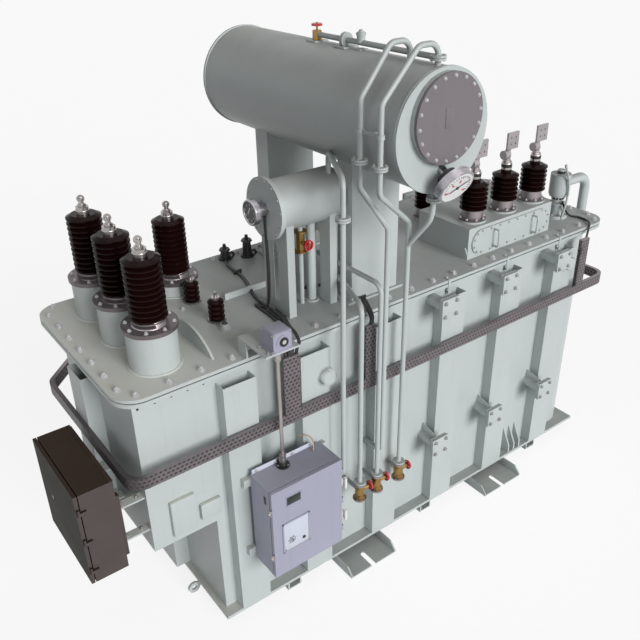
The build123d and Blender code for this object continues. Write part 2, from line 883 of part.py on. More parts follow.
with BuildPart() as bushing_clamp_rings:
    for x, y, height in hv_places:
        with BuildSketch(Plane.XY.offset(cover_top + height + turret_flange_thickness)):
            with Locations((x, y)):
                Circle(clamp_ring_radius)
                Circle(shed_core_radius + seat_gap, mode=Mode.SUBTRACT)
        extrude(amount=clamp_ring_height)
    for x, y, seat in lv_places:
        with BuildSketch(Plane.XY.offset(seat + lv_flange_height)):
            with Locations((x, y)):
                Circle(lv_clamp_radius)
                Circle(lv_core_radius + seat_gap, mode=Mode.SUBTRACT)
        extrude(amount=lv_clamp_height)
    for x, y in small_places:
        with BuildSketch(Plane.XY.offset(cover_top)):
            with Locations((x, y)):
                Circle(small_flange_radius)
                Circle(small_core_radius + seat_gap, mode=Mode.SUBTRACT)
        extrude(amount=small_flange_height)
bushing_clamp_rings.part.label = "bushing_clamp_rings"
export_step(bushing_clamp_rings.part, "parts/bushing_clamp_rings.step")

# Stud terminals: a cap and a stud, with an eye on the tall bushings
with BuildPart() as stud_terminals:
    for x, y, height in hv_places:
        seat = cover_top + height + turret_flange_thickness + porcelain_height
        with BuildSketch(Plane.XY.offset(seat)):
            with Locations((x, y)):
                Circle(cap_radius)
        extrude(amount=cap_height)
        with BuildSketch(Plane.XY.offset(seat + cap_height)):
            with Locations((x, y)):
                Circle(stud_radius)
        extrude(amount=stud_height)
        eye_plane = upright_profile(x, y, seat + cap_height + stud_height)
        with BuildSketch(eye_plane):
            Circle(eye_radius)
        extrude(amount=eye_thickness / 2, both=True)
        with BuildSketch(eye_plane):
            Circle(eye_radius / 2)
        extrude(amount=eye_thickness, both=True, mode=Mode.SUBTRACT)
    for x, y in small_places:
        with BuildSketch(Plane.XY.offset(cover_top + small_bushing_height)):
            with Locations((x, y)):
                Circle(small_cap_radius)
        extrude(amount=small_cap_height)
        with BuildSketch(Plane.XY.offset(cover_top + small_bushing_height + small_cap_height)):
            with Locations((x, y)):
                Circle(small_stud_radius)
        extrude(amount=small_stud_height)
stud_terminals.part.label = "stud_terminals"
export_step(stud_terminals.part, "parts/stud_terminals.step")

# Main conservator: shell, two end plates and the round bolted cover on its front
front_end_middle = (conservator_x, conservator_front, conservator_axis)
front_end = Plane(origin=front_end_middle, x_dir=(1, 0, 0), z_dir=(0, -1, 0))
shell_length = conservator_length - 2 * end_plate_thickness
with BuildPart() as conservator_shell:
    with BuildSketch(front_end.offset(-end_plate_thickness)):
        Circle(conservator_radius)
        Circle(conservator_radius - conservator_wall, mode=Mode.SUBTRACT)
    extrude(amount=-shell_length)
conservator_shell.part.label = "conservator_shell"
export_step(conservator_shell.part, "parts/conservator_shell.step")

with BuildPart() as conservator_ends:
    with BuildSketch(front_end):
        Circle(end_plate_radius)
    extrude(amount=-end_plate_thickness)
    with BuildSketch(front_end):
        with Locations((0, hatch_cover_lift)):
            Circle(hatch_cover_radius)
    extrude(amount=hatch_neck_reach)
    with BuildSketch(front_end.offset(-end_plate_thickness)):
        with Locations((0, hatch_cover_lift)):
            Circle(hatch_cover_radius - hatch_neck_width)
    extrude(amount=hatch_neck_reach + end_plate_thickness, mode=Mode.SUBTRACT)
    with BuildSketch(front_end.offset(end_plate_thickness - conservator_length)):
        Circle(end_plate_radius)
    extrude(amount=-end_plate_thickness)
conservator_ends.part.label = "conservator_ends"
export_step(conservator_ends.part, "parts/conservator_ends.step")

with BuildPart() as conservator_hatch:
    with BuildSketch(front_end.offset(hatch_neck_reach)):
        with Locations((0, hatch_cover_lift)):
            Circle(hatch_cover_radius)
    extrude(amount=hatch_cover_thickness)
conservator_hatch.part.label = "conservator_hatch"
export_step(conservator_hatch.part, "parts/conservator_hatch.step")

# Conservator legs: folded channels on foot plates, cut to the shell
saddle_level = conservator_axis - conservator_radius + saddle_bite
with BuildPart() as conservator_legs:
    for leg_face in (front_leg_face, rear_leg_face):
        with BuildSketch(Plane(origin=(conservator_x, leg_face + leg_depth, cover_top), z_dir=(0, 0, 1))):
            add(channel_sketch(leg_width, leg_depth, leg_plate))
        extrude(amount=saddle_level - cover_top)
        with BuildSketch(Plane.XY.offset(cover_top)):
            with Locations((conservator_x, leg_face + leg_depth / 2)):
                Rectangle(leg_width + 2 * leg_foot_margin, leg_depth + leg_foot_margin)
        extrude(amount=leg_foot_plate)
    with BuildSketch(front_end):
        Circle(conservator_radius)
    extrude(amount=-conservator_length, mode=Mode.SUBTRACT)
conservator_legs.part.label = "conservator_legs"
export_step(conservator_legs.part, "parts/conservator_legs.step")

# Oil gauge: a tilted dial on a neck from the front end plate
tilt = radians(gauge_tilt)
dial_direction = Vector(0, -cos(tilt), -sin(tilt))
dial_centre = Vector(conservator_x, conservator_front - gauge_reach, conservator_axis - gauge_drop)
dial_plane = Plane(origin=dial_centre, x_dir=(1, 0, 0), z_dir=dial_direction)
with BuildPart() as oil_gauge:
    with BuildSketch(dial_plane):
        Circle(gauge_radius)
    extrude(amount=-gauge_depth)
    with BuildSketch(dial_plane.offset(-gauge_depth)):
        Circle(gauge_neck_radius)
    extrude(amount=-gauge_reach)
    with BuildSketch(front_end):
        Rectangle(2 * end_plate_radius, 2 * end_plate_radius)
    extrude(amount=-2 * gauge_reach, mode=Mode.SUBTRACT)
oil_gauge.part.label = "oil_gauge"
export_step(oil_gauge.part, "parts/oil_gauge.step")

# Tap-changer conservator: flanged shell, bolted end cover, gauge
oltc_end = Plane(origin=(oltc_left, oltc_y, oltc_axis), x_dir=(0, -1, 0), z_dir=(-1, 0, 0))
oltc_shell_length = oltc_length - oltc_cover_thickness
with BuildPart() as oltc_shell:
    with BuildSketch(oltc_end.offset(-oltc_cover_thickness)):
        Circle(oltc_radius)
    extrude(amount=-oltc_shell_length)
    with BuildSketch(oltc_end.offset(-oltc_cover_thickness)):
        Circle(oltc_flange_radius)
    extrude(amount=-oltc_flange_thickness)
    with BuildSketch(oltc_end.offset(-oltc_cover_thickness)):
        Circle(oltc_radius - oltc_wall)
    extrude(amount=oltc_wall - oltc_shell_length, mode=Mode.SUBTRACT)
oltc_shell.part.label = "oltc_shell"
export_step(oltc_shell.part, "parts/oltc_shell.step")

with BuildPart() as oltc_cover:
    with BuildSketch(oltc_end):
        Circle(oltc_flange_radius)
    extrude(amount=-oltc_cover_thickness)
oltc_cover.part.label = "oltc_cover"
export_step(oltc_cover.part, "parts/oltc_cover.step")

with BuildPart() as oltc_gauge:
    with BuildSketch(oltc_end):
        Circle(oltc_gauge_neck_radius)
    extrude(amount=oltc_gauge_neck)
    with BuildSketch(oltc_end.offset(oltc_gauge_neck)):
        Circle(oltc_gauge_radius)
    extrude(amount=oltc_gauge_depth)
oltc_gauge.part.label = "oltc_gauge"
export_step(oltc_gauge.part, "parts/oltc_gauge.step")

# Supports: folded plates with a slotted web, cut to the shell
support_top = oltc_axis - oltc_radius / 2
with BuildPart() as oltc_supports:
    for place in (support_first, support_first + support_pitch):
        folded = Plane(origin=(place + support_flange, oltc_y, cover_top), x_dir=(0, -1, 0), z_dir=(0, 0, 1))
        with BuildSketch(folded):
            add(channel_sketch(support_width, support_flange, support_plate))
        extrude(amount=support_top - cover_top)
        web = Plane(origin=(place, oltc_y, cover_top), x_dir=(0, 1, 0), z_dir=(1, 0, 0))
        with BuildSketch(web):
            with Locations((0, (oltc_axis - oltc_radius - cover_top) / 2)):
                SlotOverall(support_slot_height, support_slot_width, rotation=90)
        extrude(amount=support_plate, mode=Mode.SUBTRACT)
    with BuildSketch(oltc_end):
        Circle(oltc_radius)
    extrude(amount=-oltc_length, mode=Mode.SUBTRACT)
oltc_supports.part.label = "oltc_supports"
export_step(oltc_supports.part, "parts/oltc_supports.step")

# Vent pipes: two risers that arch over the side of the conservator and run down the
# front, and the header along its top, with pairs of joint flanges
conservator_top = conservator_axis + conservator_radius
header_level = conservator_top + header_rise
vent_level = conservator_top + vent_rise


def route_start(route):
    """The plane square to the start of a pipe's route."""
    return Plane(origin=route.line @ 0, z_dir=route.line % 0)


vent_routes = [
    (vent_a_start_x, vent_a_y, vent_a_bend_level, [
        (vent_a_x, pipe_front, vent_a_bottom),
        (vent_a_x, tank_front, vent_a_bottom),
    ]),
    (conservator_x, vent_b_y, vent_b_bend_level, [(vent_b_x, pipe_front, valve_level)]),
]
with BuildPart() as vent_pipes:
    for start_x, y, bend_level, ends in vent_routes:
        with BuildLine() as route:
            FilletPolyline(
                (start_x, y, conservator_axis),
                (start_x, y, vent_level),
                (start_x - vent_arch_reach, y, vent_level),
                (vent_side_x, y, vent_level - vent_arch_drop),
                (vent_side_x, y, bend_level),
                (ends[0][0], pipe_front, bend_level - vent_bend_drop),
                *ends,
                radius=pipe_bend,
            )
        with BuildSketch(route_start(route)):
            Circle(pipe_radius)
        sweep()
        with BuildSketch(Plane.XY.offset(vent_joint_level - joint_flange_thickness)):
            with Locations((vent_side_x, y)):
                Circle(joint_flange_radius)
        extrude(amount=2 * joint_flange_thickness)
    with BuildSketch(Plane.XY.offset(header_level - joint_flange_thickness)):
        with Locations((conservator_x, vent_b_y)):
            Circle(joint_flange_radius)
    extrude(amount=2 * joint_flange_thickness)
    header_end = (conservator_x, top_valve_y, header_level)
    with BuildSketch(Plane(origin=header_end, x_dir=(1, 0, 0), z_dir=(0, -1, 0))):
        Circle(pipe_radius)
    extrude(amount=top_valve_y - vent_b_y)
    header_joint = (conservator_x, header_joint_y, header_level)
    with BuildSketch(Plane(origin=header_joint, x_dir=(1, 0, 0), z_dir=(0, -1, 0))):
        Circle(joint_flange_radius)
    extrude(amount=joint_flange_thickness, both=True)
    with BuildSketch(Plane.XY.offset(header_level)):
        with Locations((conservator_x, vent_plug_y)):
            Circle(vent_plug_radius)
    extrude(amount=vent_plug_height)
    with BuildSketch(Plane.XY.offset(conservator_axis)):
        with Locations((conservator_x, top_valve_y)):
            Circle(valve_body_radius + seat_gap)
    extrude(amount=conservator_radius + vent_rise, mode=Mode.SUBTRACT)
    with BuildSketch(Plane.XY.offset(valve_level)):
        with Locations((vent_b_x, pipe_front)):
            Circle(valve_flange_radius)
    extrude(amount=valve_flange_thickness)
    with BuildSketch(front_end):
        Circle(conservator_radius)
    extrude(amount=-conservator_length, mode=Mode.SUBTRACT)
vent_pipes.part.label = "vent_pipes"
export_step(vent_pipes.part, "parts/vent_pipes.step")

# Drain pipes of the tap changer: one from its conservator, two from the cover
with BuildPart() as drain_pipes:
    with BuildLine() as route_1:
        FilletPolyline(
            (drain_1_start_x, drain_1_start_y, oltc_axis),
            (drain_1_start_x, drain_1_start_y, drain_1_level),
            (drain_1_x, pipe_front, drain_1_level),
            (drain_1_x, pipe_front, drain_1_bottom),
            (drain_1_x, tank_front, drain_1_bottom),
            radius=pipe_bend,
        )
    with BuildSketch(route_start(route_1)):
        Circle(pipe_radius)
    sweep()
    with BuildSketch(Plane.XY.offset(drain_1_joint_level - joint_flange_thickness)):
        with Locations((drain_1_x, pipe_front)):
            Circle(joint_flange_radius)
    extrude(amount=2 * joint_flange_thickness)
    with BuildLine() as route_2:
        FilletPolyline(
            (drain_2_start_x, drain_2_start_y, cover_top),
            (drain_2_start_x, drain_2_start_y, drain_2_level),
            (drain_2_middle_x, drain_2_middle_y, drain_2_level),
            (drain_2_x, pipe_front, drain_2_level),
            (drain_2_x, pipe_front, valve_level),
            radius=pipe_bend,
        )
    with BuildSketch(route_start(route_2)):
        Circle(pipe_radius)
    sweep()
    with BuildLine() as route_3:
        FilletPolyline(
            (drain_3_start_x, drain_3_start_y, cover_top),
            (drain_3_start_x, drain_3_start_y, drain_3_level),
            (drain_3_x, pipe_front, drain_3_level),
            (drain_3_x, pipe_front, valve_level),
            radius=pipe_bend,
        )
    with BuildSketch(route_start(route_3)):
        Circle(pipe_radius)
    sweep()
    for x in (drain_2_x, drain_3_x):
        with BuildSketch(Plane.XY.offset(valve_level)):
            with Locations((x, pipe_front)):
                Circle(valve_flange_radius)
        extrude(amount=valve_flange_thickness)
    with BuildSketch(oltc_end):
        Circle(oltc_radius)
    extrude(amount=-oltc_length, mode=Mode.SUBTRACT)
drain_pipes.part.label = "drain_pipes"
export_step(drain_pipes.part, "parts/drain_pipes.step")

# Pipes under the tap-changer conservator: above and below its valve, and the breather pipe
oltc_valve_bottom = oltc_valve_level - valve_body_height / 2
with BuildPart() as oltc_pipes:
    with BuildSketch(Plane.XY.offset(cover_top)):
        with Locations((oltc_valve_x, oltc_y)):
            Circle(pipe_radius)
    extrude(amount=oltc_valve_bottom - cover_top)
    with BuildSketch(Plane.XY.offset(oltc_valve_bottom + valve_body_height)):
        with Locations((oltc_valve_x, oltc_y)):
            Circle(pipe_radius)
    extrude(amount=oltc_axis - oltc_valve_bottom - valve_body_height)
    with BuildSketch(Plane.XY.offset(cover_top)):
        with Locations((breather_x, oltc_y)):
            Circle(breather_radius)
    extrude(amount=oltc_rise)
    with BuildSketch(Plane.XY.offset(cover_top)):
        with Locations((breather_x, oltc_y)):
            Circle(breather_flange_radius)
    extrude(amount=joint_flange_thickness)
    with BuildSketch(oltc_end):
        Circle(oltc_radius)
    extrude(amount=-oltc_length, mode=Mode.SUBTRACT)
oltc_pipes.part.label = "oltc_pipes"
export_step(oltc_pipes.part, "parts/oltc_pipes.step")

# Brass valves: end flanges, a round body and a bonnet with the handwheel's stem.
# Each is given by its lower end, the way its stem points and the plane of its wheel.
valve_axis_level = valve_level - valve_body_height / 2
top_valve_bottom = header_level - valve_body_height / 2
valve_seats = [
    ((drain_2_x, pipe_front, valve_level - valve_body_height), (1, 0, 0), (0, 1, 0)),
    ((drain_3_x, pipe_front, valve_level - valve_body_height), (1, 0, 0), (0, 1, 0)),
    ((vent_b_x, pipe_front, valve_level - valve_body_height), (1, 0, 0), (0, 1, 0)),
    ((oltc_valve_x, oltc_y, oltc_valve_bottom), (0, -1, 0), (1, 0, 0)),
]
with BuildPart() as brass_valves:
    for seat, stem_way, wheel_way in valve_seats:
        x, y, bottom = seat
        for level in (bottom, bottom + valve_body_height - valve_flange_thickness):
            with BuildSketch(Plane.XY.offset(level)):
                with Locations((x, y)):
                    Circle(valve_flange_radius)
            extrude(amount=valve_flange_thickness)
        with BuildSketch(Plane.XY.offset(bottom)):
            with Locations((x, y)):
                Circle(valve_body_radius)
        extrude(amount=valve_body_height)
        stem = Plane(origin=(x, y, bottom + valve_body_height / 2), x_dir=wheel_way, z_dir=stem_way)
        with BuildSketch(stem):
            Circle(valve_bonnet_radius)
        extrude(amount=valve_stem_reach - handwheel_thickness)
        with BuildSketch(stem):
            Circle(valve_stem_radius)
        extrude(amount=valve_stem_reach + handwheel_thickness)
    with BuildSketch(Plane.XY.offset(conservator_axis)):
        with Locations((conservator_x, top_valve_y)):
            Circle(valve_body_radius)
    extrude(amount=header_level + top_valve_rise - conservator_axis)
    with BuildSketch(Plane.XY.offset(conservator_axis)):
        with Locations((conservator_x, top_valve_y)):
            Circle(valve_stem_radius)
    extrude(amount=header_level + top_valve_rise + valve_top_stem - conservator_axis)
    with BuildSketch(front_end):
        Circle(conservator_radius)
    extrude(amount=-conservator_length, mode=Mode.SUBTRACT)
brass_valves.part.label = "brass_valves"
export_step(brass_valves.part, "parts/brass_valves.step")

# Branches from the valves back to the tank or to the stiffener behind them
with BuildPart() as valve_branches:
    for x, wall in ((drain_2_x, tank_front), (drain_3_x, tank_front), (vent_b_x, stiffener_front)):
        branch = Plane(origin=(x, wall, valve_axis_level), x_dir=(1, 0, 0), z_dir=(0, -1, 0))
        with BuildSketch(branch):
            Circle(pipe_radius)
        extrude(amount=wall - pipe_front)
        with BuildSketch(Plane.XY.offset(valve_level - valve_body_height)):
            with Locations((x, pipe_front)):
                Circle(valve_body_radius)
        extrude(amount=valve_body_height, mode=Mode.SUBTRACT)
valve_branches.part.label = "valve_branches"
export_step(valve_branches.part, "parts/valve_branches.step")


def wheel_outline():
    """A handwheel: rim, hub, two spokes across, and the stem's hole."""
    with BuildSketch() as outline:
        Circle(handwheel_radius)
        Circle(handwheel_radius - handwheel_rim, mode=Mode.SUBTRACT)
        Circle(2 * valve_stem_radius)
        Rectangle(2 * handwheel_radius - handwheel_rim, handwheel_rim)
        Rectangle(handwheel_rim, 2 * handwheel_radius - handwheel_rim)
        Circle(valve_stem_radius + seat_gap, mode=Mode.SUBTRACT)
    return outline.sketch


wheel_names = ("handwheel_left", "handwheel_middle", "handwheel_right", "handwheel_upper")
wheel_planes = {}
for wheel_name, (seat, stem_way, wheel_way) in zip(wheel_names, valve_seats):
    x, y, bottom = seat
    stem = Plane(origin=(x, y, bottom + valve_body_height / 2), x_dir=wheel_way, z_dir=stem_way)
    wheel_planes[wheel_name] = stem.offset(valve_stem_reach)
top_wheel_level = header_level + top_valve_rise + valve_top_stem - handwheel_thickness
wheel_planes["handwheel_top"] = Plane(origin=(conservator_x, top_valve_y, top_wheel_level), z_dir=(0, 0, 1))
for wheel_name, wheel_plane in wheel_planes.items():
    with BuildPart() as handwheel:
        with BuildSketch(wheel_plane):
            add(wheel_outline())
        extrude(amount=handwheel_thickness / 2, both=True)
    handwheel.part.label = wheel_name
    export_step(handwheel.part, f"parts/{wheel_name}.step")

# Gearbox on a bracket over the cover's front edge, with the shaft down to the drive cabinet
bracket_level = cover_top + bracket_height
bracket_back = -cover_half_depth + bracket_lap
bracket_front = gearbox_y - gearbox_size / 2
with BuildPart() as gearbox_bracket:
    with BuildSketch(Plane.XY.offset(bracket_level)):
        with Locations((gearbox_x, (bracket_front + bracket_back) / 2)):
            Rectangle(gearbox_plate_width, bracket_back - bracket_front)
        with Locations((gearbox_x, gearbox_y)):
            Circle(shaft_radius + gearbox_plate / 2, mode=Mode.SUBTRACT)
    extrude(amount=-gearbox_plate)
    with BuildSketch(Plane.XY.offset(cover_top)):
        with Locations((gearbox_x, bracket_back - gearbox_plate / 2)):
            Rectangle(gearbox_plate_width, gearbox_plate)
        for end in (-1, 1):
            side_x = gearbox_x + end * (gearbox_plate_width - gearbox_plate) / 2
            with Locations((side_x, bracket_back - bracket_lap / 2)):
                Rectangle(gearbox_plate, bracket_lap)
    extrude(amount=bracket_height - gearbox_plate)
gearbox_bracket.part.label = "gearbox_bracket"
export_step(gearbox_bracket.part, "parts/gearbox_bracket.step")

with BuildPart() as bevel_gearbox:
    with BuildSketch(Plane.XY.offset(bracket_level)):
        with Locations((gearbox_x, gearbox_y)):
            Rectangle(gearbox_size, gearbox_size)
    extrude(amount=gearbox_size)
bevel_gearbox.part.label = "bevel_gearbox"
export_step(bevel_gearbox.part, "parts/bevel_gearbox.step")

drive_top = cover_top - drive_top_drop
with BuildPart() as drive_shaft:
    with BuildSketch(Plane.XY.offset(drive_top)):
        with Locations((gearbox_x, gearbox_y)):
            Circle(shaft_radius)
    extrude(amount=bracket_level - drive_top)
drive_shaft.part.label = "drive_shaft"
export_step(drive_shaft.part, "parts/drive_shaft.step")


def hinge_plane(x, y, z, leaf_way):
    """A level plane on a hinge line, its X axis pointing away from the door leaf."""
    return Plane(origin=(x, y, z), x_dir=(-leaf_way[0], -leaf_way[1], 0), z_dir=(0, 0, 1))


def cabinet_knuckle(leaf_thickness):
    """The fixed half of a hinge: a knuckle, an arm back past the leaf, and a foot on the cabinet's side."""
    reach = leaf_thickness / 2 + door_gap
    with BuildSketch() as outline:
        Circle(hinge_knuckle_radius)
        with Locations((0, (reach + hinge_foot) / 2)):
            Rectangle(2 * hinge_knuckle_radius, reach + hinge_foot)
        with Locations(((hinge_knuckle_radius - hinge_reach) / 2, reach + hinge_foot / 2)):
            Rectangle(hinge_reach + hinge_knuckle_radius, hinge_foot)
    return outline.sketch


def leaf_knuckle():
    """The moving half of a hinge: a bored knuckle on an arm from the leaf's edge."""
    with BuildSketch() as outline:
        Circle(hinge_knuckle_radius)
        with Locations((-hinge_reach / 2, 0)):
            Rectangle(hinge_reach, 2 * hinge_knuckle_radius)
        Circle(hinge_pin_radius + seat_gap, mode=Mode.SUBTRACT)
    return outline.sketch


def hinge_levels(bottom, height):
    """The heights of the fixed knuckles of one door."""
    pitch = (height - 2 * hinge_inset) / (hinge_count - 1)
    return [bottom + hinge_inset + i * pitch - hinge_knuckle_height for i in range(hinge_count)]


# Motor drive cabinet: an open-fronted box with a full door hung on its right edge
drive_back = drive_front + drive_door + drive_depth
drive_bottom = drive_top - drive_height
drive_middle = drive_left + drive_width / 2
drive_hinge_x = drive_left + drive_width + hinge_reach
drive_hinge_y = drive_front + drive_door / 2
with BuildPart() as drive_cabinet:
    with BuildSketch(Plane.XY.offset(drive_bottom)):
        with Locations((drive_middle, drive_back - (drive_depth - door_gap) / 2)):
            Rectangle(drive_width, drive_depth - door_gap)
    extrude(amount=drive_height)
    with BuildSketch(Plane.XY.offset(drive_bottom + drive_sheet)):
        with Locations((drive_middle, drive_back - drive_sheet - drive_depth / 2)):
            Rectangle(drive_width - 2 * drive_sheet, drive_depth)
    extrude(amount=drive_height - 2 * drive_sheet, mode=Mode.SUBTRACT)
    for level in hinge_levels(drive_bottom, drive_height):
        line = hinge_plane(drive_hinge_x, drive_hinge_y, level, (-1, 0))
        with BuildSketch(line):
            add(cabinet_knuckle(drive_door))
        extrude(amount=hinge_knuckle_height)
        with BuildSketch(line):
            Circle(hinge_pin_radius)
        extrude(amount=2 * hinge_knuckle_height)
drive_cabinet.part.label = "drive_cabinet"
export_step(drive_cabinet.part, "parts/drive_cabinet.step")

with BuildPart() as drive_door_leaf:
    with BuildSketch(Plane.XY.offset(drive_bottom)):
        with Locations((drive_middle, drive_front + drive_door / 2)):
            Rectangle(drive_width, drive_door)
    extrude(amount=drive_height)
    for level in hinge_levels(drive_bottom, drive_height):
        knuckle_level = level + hinge_knuckle_height + seat_gap
        with BuildSketch(hinge_plane(drive_hinge_x, drive_hinge_y, knuckle_level, (-1, 0))):
            add(leaf_knuckle())
        extrude(amount=hinge_knuckle_height - seat_gap)
drive_door_leaf.part.label = "drive_cabinet_door"
export_step(drive_door_leaf.part, "parts/drive_cabinet_door.step")

# Terminal cabinet on brackets from the pocket's end, its door facing left
terminal_top = cover_top - terminal_top_drop
terminal_bottom = terminal_top - terminal_height
terminal_middle = terminal_front + terminal_length / 2
terminal_right = terminal_left + terminal_width
terminal_body_left = terminal_left + terminal_door + door_gap
terminal_hinge_x = terminal_left + terminal_door / 2
terminal_hinge_y = terminal_front - hinge_reach
with BuildPart() as terminal_cabinet:
    with BuildSketch(Plane.XY.offset(terminal_bottom)):
        with Locations(((terminal_body_left + terminal_right) / 2, terminal_middle)):
            Rectangle(terminal_right - terminal_body_left, terminal_length)
    extrude(amount=terminal_height)
    with BuildSketch(Plane.XY.offset(terminal_bottom + terminal_sheet)):
        with Locations(((terminal_body_left + terminal_right) / 2 - terminal_sheet, terminal_middle)):
            Rectangle(terminal_right - terminal_body_left, terminal_length - 2 * terminal_sheet)
    extrude(amount=terminal_height - 2 * terminal_sheet, mode=Mode.SUBTRACT)
    for level in hinge_levels(terminal_bottom, terminal_height):
        line = hinge_plane(terminal_hinge_x, terminal_hinge_y, level, (0, 1))
        with BuildSketch(line):
            add(cabinet_knuckle(terminal_door))
        extrude(amount=hinge_knuckle_height)
        with BuildSketch(line):
            Circle(hinge_pin_radius)
        extrude(amount=2 * hinge_knuckle_height)
terminal_cabinet.part.label = "terminal_cabinet"
export_step(terminal_cabinet.part, "parts/terminal_cabinet.step")

with BuildPart() as terminal_door_leaf:
    with BuildSketch(Plane.XY.offset(terminal_bottom)):
        with Locations((terminal_left + terminal_door / 2, terminal_middle)):
            Rectangle(terminal_door, terminal_length)
    extrude(amount=terminal_height)
    for level in hinge_levels(terminal_bottom, terminal_height):
        knuckle_level = level + hinge_knuckle_height + seat_gap
        with BuildSketch(hinge_plane(terminal_hinge_x, terminal_hinge_y, knuckle_level, (0, 1))):
            add(leaf_knuckle())
        extrude(amount=hinge_knuckle_height - seat_gap)
terminal_door_leaf.part.label = "terminal_cabinet_door"
export_step(terminal_door_leaf.part, "parts/terminal_cabinet_door.step")

with BuildPart() as cabinet_brackets:
    for level in (drive_bottom + drive_rail_inset, drive_top - drive_rail_inset):
        with BuildSketch(Plane.XY.offset(level - drive_rail_height / 2)):
            with Locations((drive_middle, (drive_back + stiffener_front) / 2)):
                Rectangle(drive_width + 2 * drive_rail_overhang, stiffener_front - drive_back)
        extrude(amount=drive_rail_height)
    for rise in (terminal_bracket_low, terminal_bracket_high):
        for inset in (terminal_bracket_front, terminal_bracket_rear):
            with BuildSketch(Plane.XY.offset(terminal_bottom + rise)):
                with Locations(((terminal_right + pocket_left) / 2, tank_front + inset)):
                    Rectangle(pocket_left - terminal_right, terminal_bracket_width)
            extrude(amount=terminal_bracket_thickness)
cabinet_brackets.part.label = "cabinet_brackets"
export_step(cabinet_brackets.part, "parts/cabinet_brackets.step")

# Cable tray: an open channel round the tank on standoffs, with a lid and three drops
tray_bottom = cover_top - tray_top_drop - tray_height
tray_front = stiffener_front - tray_standoff - tray_depth
tray_left = pocket_left - pocket_stiffener_depth - tray_depth
tray_right = tank_right + tray_end_clearance + tray_depth
tray_middle = (tray_left + tray_right) / 2
tray_length = tray_right - tray_left


def tray_outline(inset):
    """The line round the tank that the tray follows, moved inwards by an inset."""
    with BuildSketch() as outline:
        with Locations((tray_middle, 0)):
            Rectangle(tray_length - 2 * inset, -2 * (tray_front + inset))
        left_corners = outline.vertices().group_by(Axis.X)[0]
        chamfer(left_corners.sort_by(Axis.Y)[-1], tray_chamfer - inner_chamfer_share * inset)
        fillet(outline.vertices(), tray_corner - inset)
    return outline.sketch


with BuildPart() as cable_tray:
    with BuildSketch(Plane.XY.offset(tray_bottom)):
        add(tray_outline(0))
        add(tray_outline(tray_depth), mode=Mode.SUBTRACT)
    extrude(amount=tray_height)
    with BuildSketch(Plane.XY.offset(tray_bottom + tray_sheet)):
        add(tray_outline(tray_sheet))
        add(tray_outline(tray_depth - tray_sheet), mode=Mode.SUBTRACT)
    extrude(amount=tray_height, mode=Mode.SUBTRACT)
    with BuildSketch(Plane.XY.offset(tray_bottom)):
        for side in (1, -1):
            for place in stiffener_places:
                with Locations((place, side * (stiffener_front - tray_standoff / 2))):
                    Rectangle(tray_standoff_width, tray_standoff)
            with Locations((tank_right + tray_end_clearance / 2, side * tray_standoff_place)):
                Rectangle(tray_end_clearance, tray_standoff_width)
    extrude(amount=tray_height / 2)
cable_tray.part.label = "cable_tray"
export_step(cable_tray.part, "parts/cable_tray.step")

tray_top = tray_bottom + tray_height
with BuildPart() as cable_tray_lid:
    with BuildSketch(Plane.XY.offset(tray_top)):
        add(tray_outline(0))
        add(tray_outline(tray_depth), mode=Mode.SUBTRACT)
    extrude(amount=tray_sheet)
    for place, width in tray_drops:
        with BuildSketch(Plane.XY.offset(tray_top)):
            with Locations((place, tray_front + tray_depth / 2)):
                Rectangle(width, tray_depth)
                Rectangle(width - 2 * tray_sheet, tray_depth - 2 * tray_sheet, mode=Mode.SUBTRACT)
        extrude(amount=rim_bottom - tray_top - tray_drop_gap)
cable_tray_lid.part.label = "cable_tray_lid"
export_step(cable_tray_lid.part, "parts/cable_tray_lid.step")

# Relief device on its flange, and the outlet pipe that turns down past the right end
relief_foot_top = cover_top + relief_foot_height
relief_top = relief_foot_top + relief_can_height
with BuildPart() as relief_device:
    with BuildSketch(Plane.XY.offset(cover_top)):
        with Locations((relief_x, relief_y)):
            Circle(relief_flange_radius)
    extrude(amount=turret_flange_thickness)
    with BuildSketch(Plane.XY.offset(cover_top)):
        with Locations((relief_x, relief_y)):
            Circle(relief_foot_radius)
    extrude(amount=relief_foot_height)
    with BuildSketch(Plane.XY.offset(relief_foot_top - relief_collar_height)):
        with Locations((relief_x, relief_y)):
            Circle(relief_collar_radius)
    extrude(amount=relief_collar_height)
    with BuildSketch(Plane.XY.offset(relief_foot_top)):
        with Locations((relief_x, relief_y)):
            Circle(relief_can_radius)
    extrude(amount=relief_can_height)
    with BuildSketch(Plane.XY.offset(relief_top)):
        with Locations((relief_x, relief_y)):
            Circle(relief_cap_radius)
    extrude(amount=relief_cap_height)
relief_device.part.label = "relief_device"
export_step(relief_device.part, "parts/relief_device.step")

with BuildPart() as relief_pipe:
    with BuildLine() as relief_route:
        FilletPolyline(
            (relief_x + relief_can_radius, relief_y, relief_top - relief_outlet_drop),
            (relief_outlet_x, relief_y, relief_top - relief_outlet_drop),
            (relief_outlet_x, relief_y, relief_outlet_level),
            radius=relief_bend,
        )
    with BuildSketch(Plane(origin=relief_route.line @ 0, z_dir=relief_route.line % 0)):
        Circle(relief_pipe_radius)
    sweep()
    relief_bracket_seat = (tank_right, relief_y, relief_bracket_level)
    with BuildSketch(Plane(origin=relief_bracket_seat, x_dir=(0, 1, 0), z_dir=(1, 0, 0))):
        Rectangle(relief_bracket_width, relief_bracket_thickness)
    extrude(amount=relief_outlet_x - tank_right)
relief_pipe.part.label = "relief_pipe"
export_step(relief_pipe.part, "parts/relief_pipe.step")
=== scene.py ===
"""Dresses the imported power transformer: paint, glaze, metal, fasteners, wiring, trim and a plain studio."""

import json
from itertools import product
from math import cos, pi, radians, sin

import bmesh
import bpy
from mathutils import Matrix, Vector


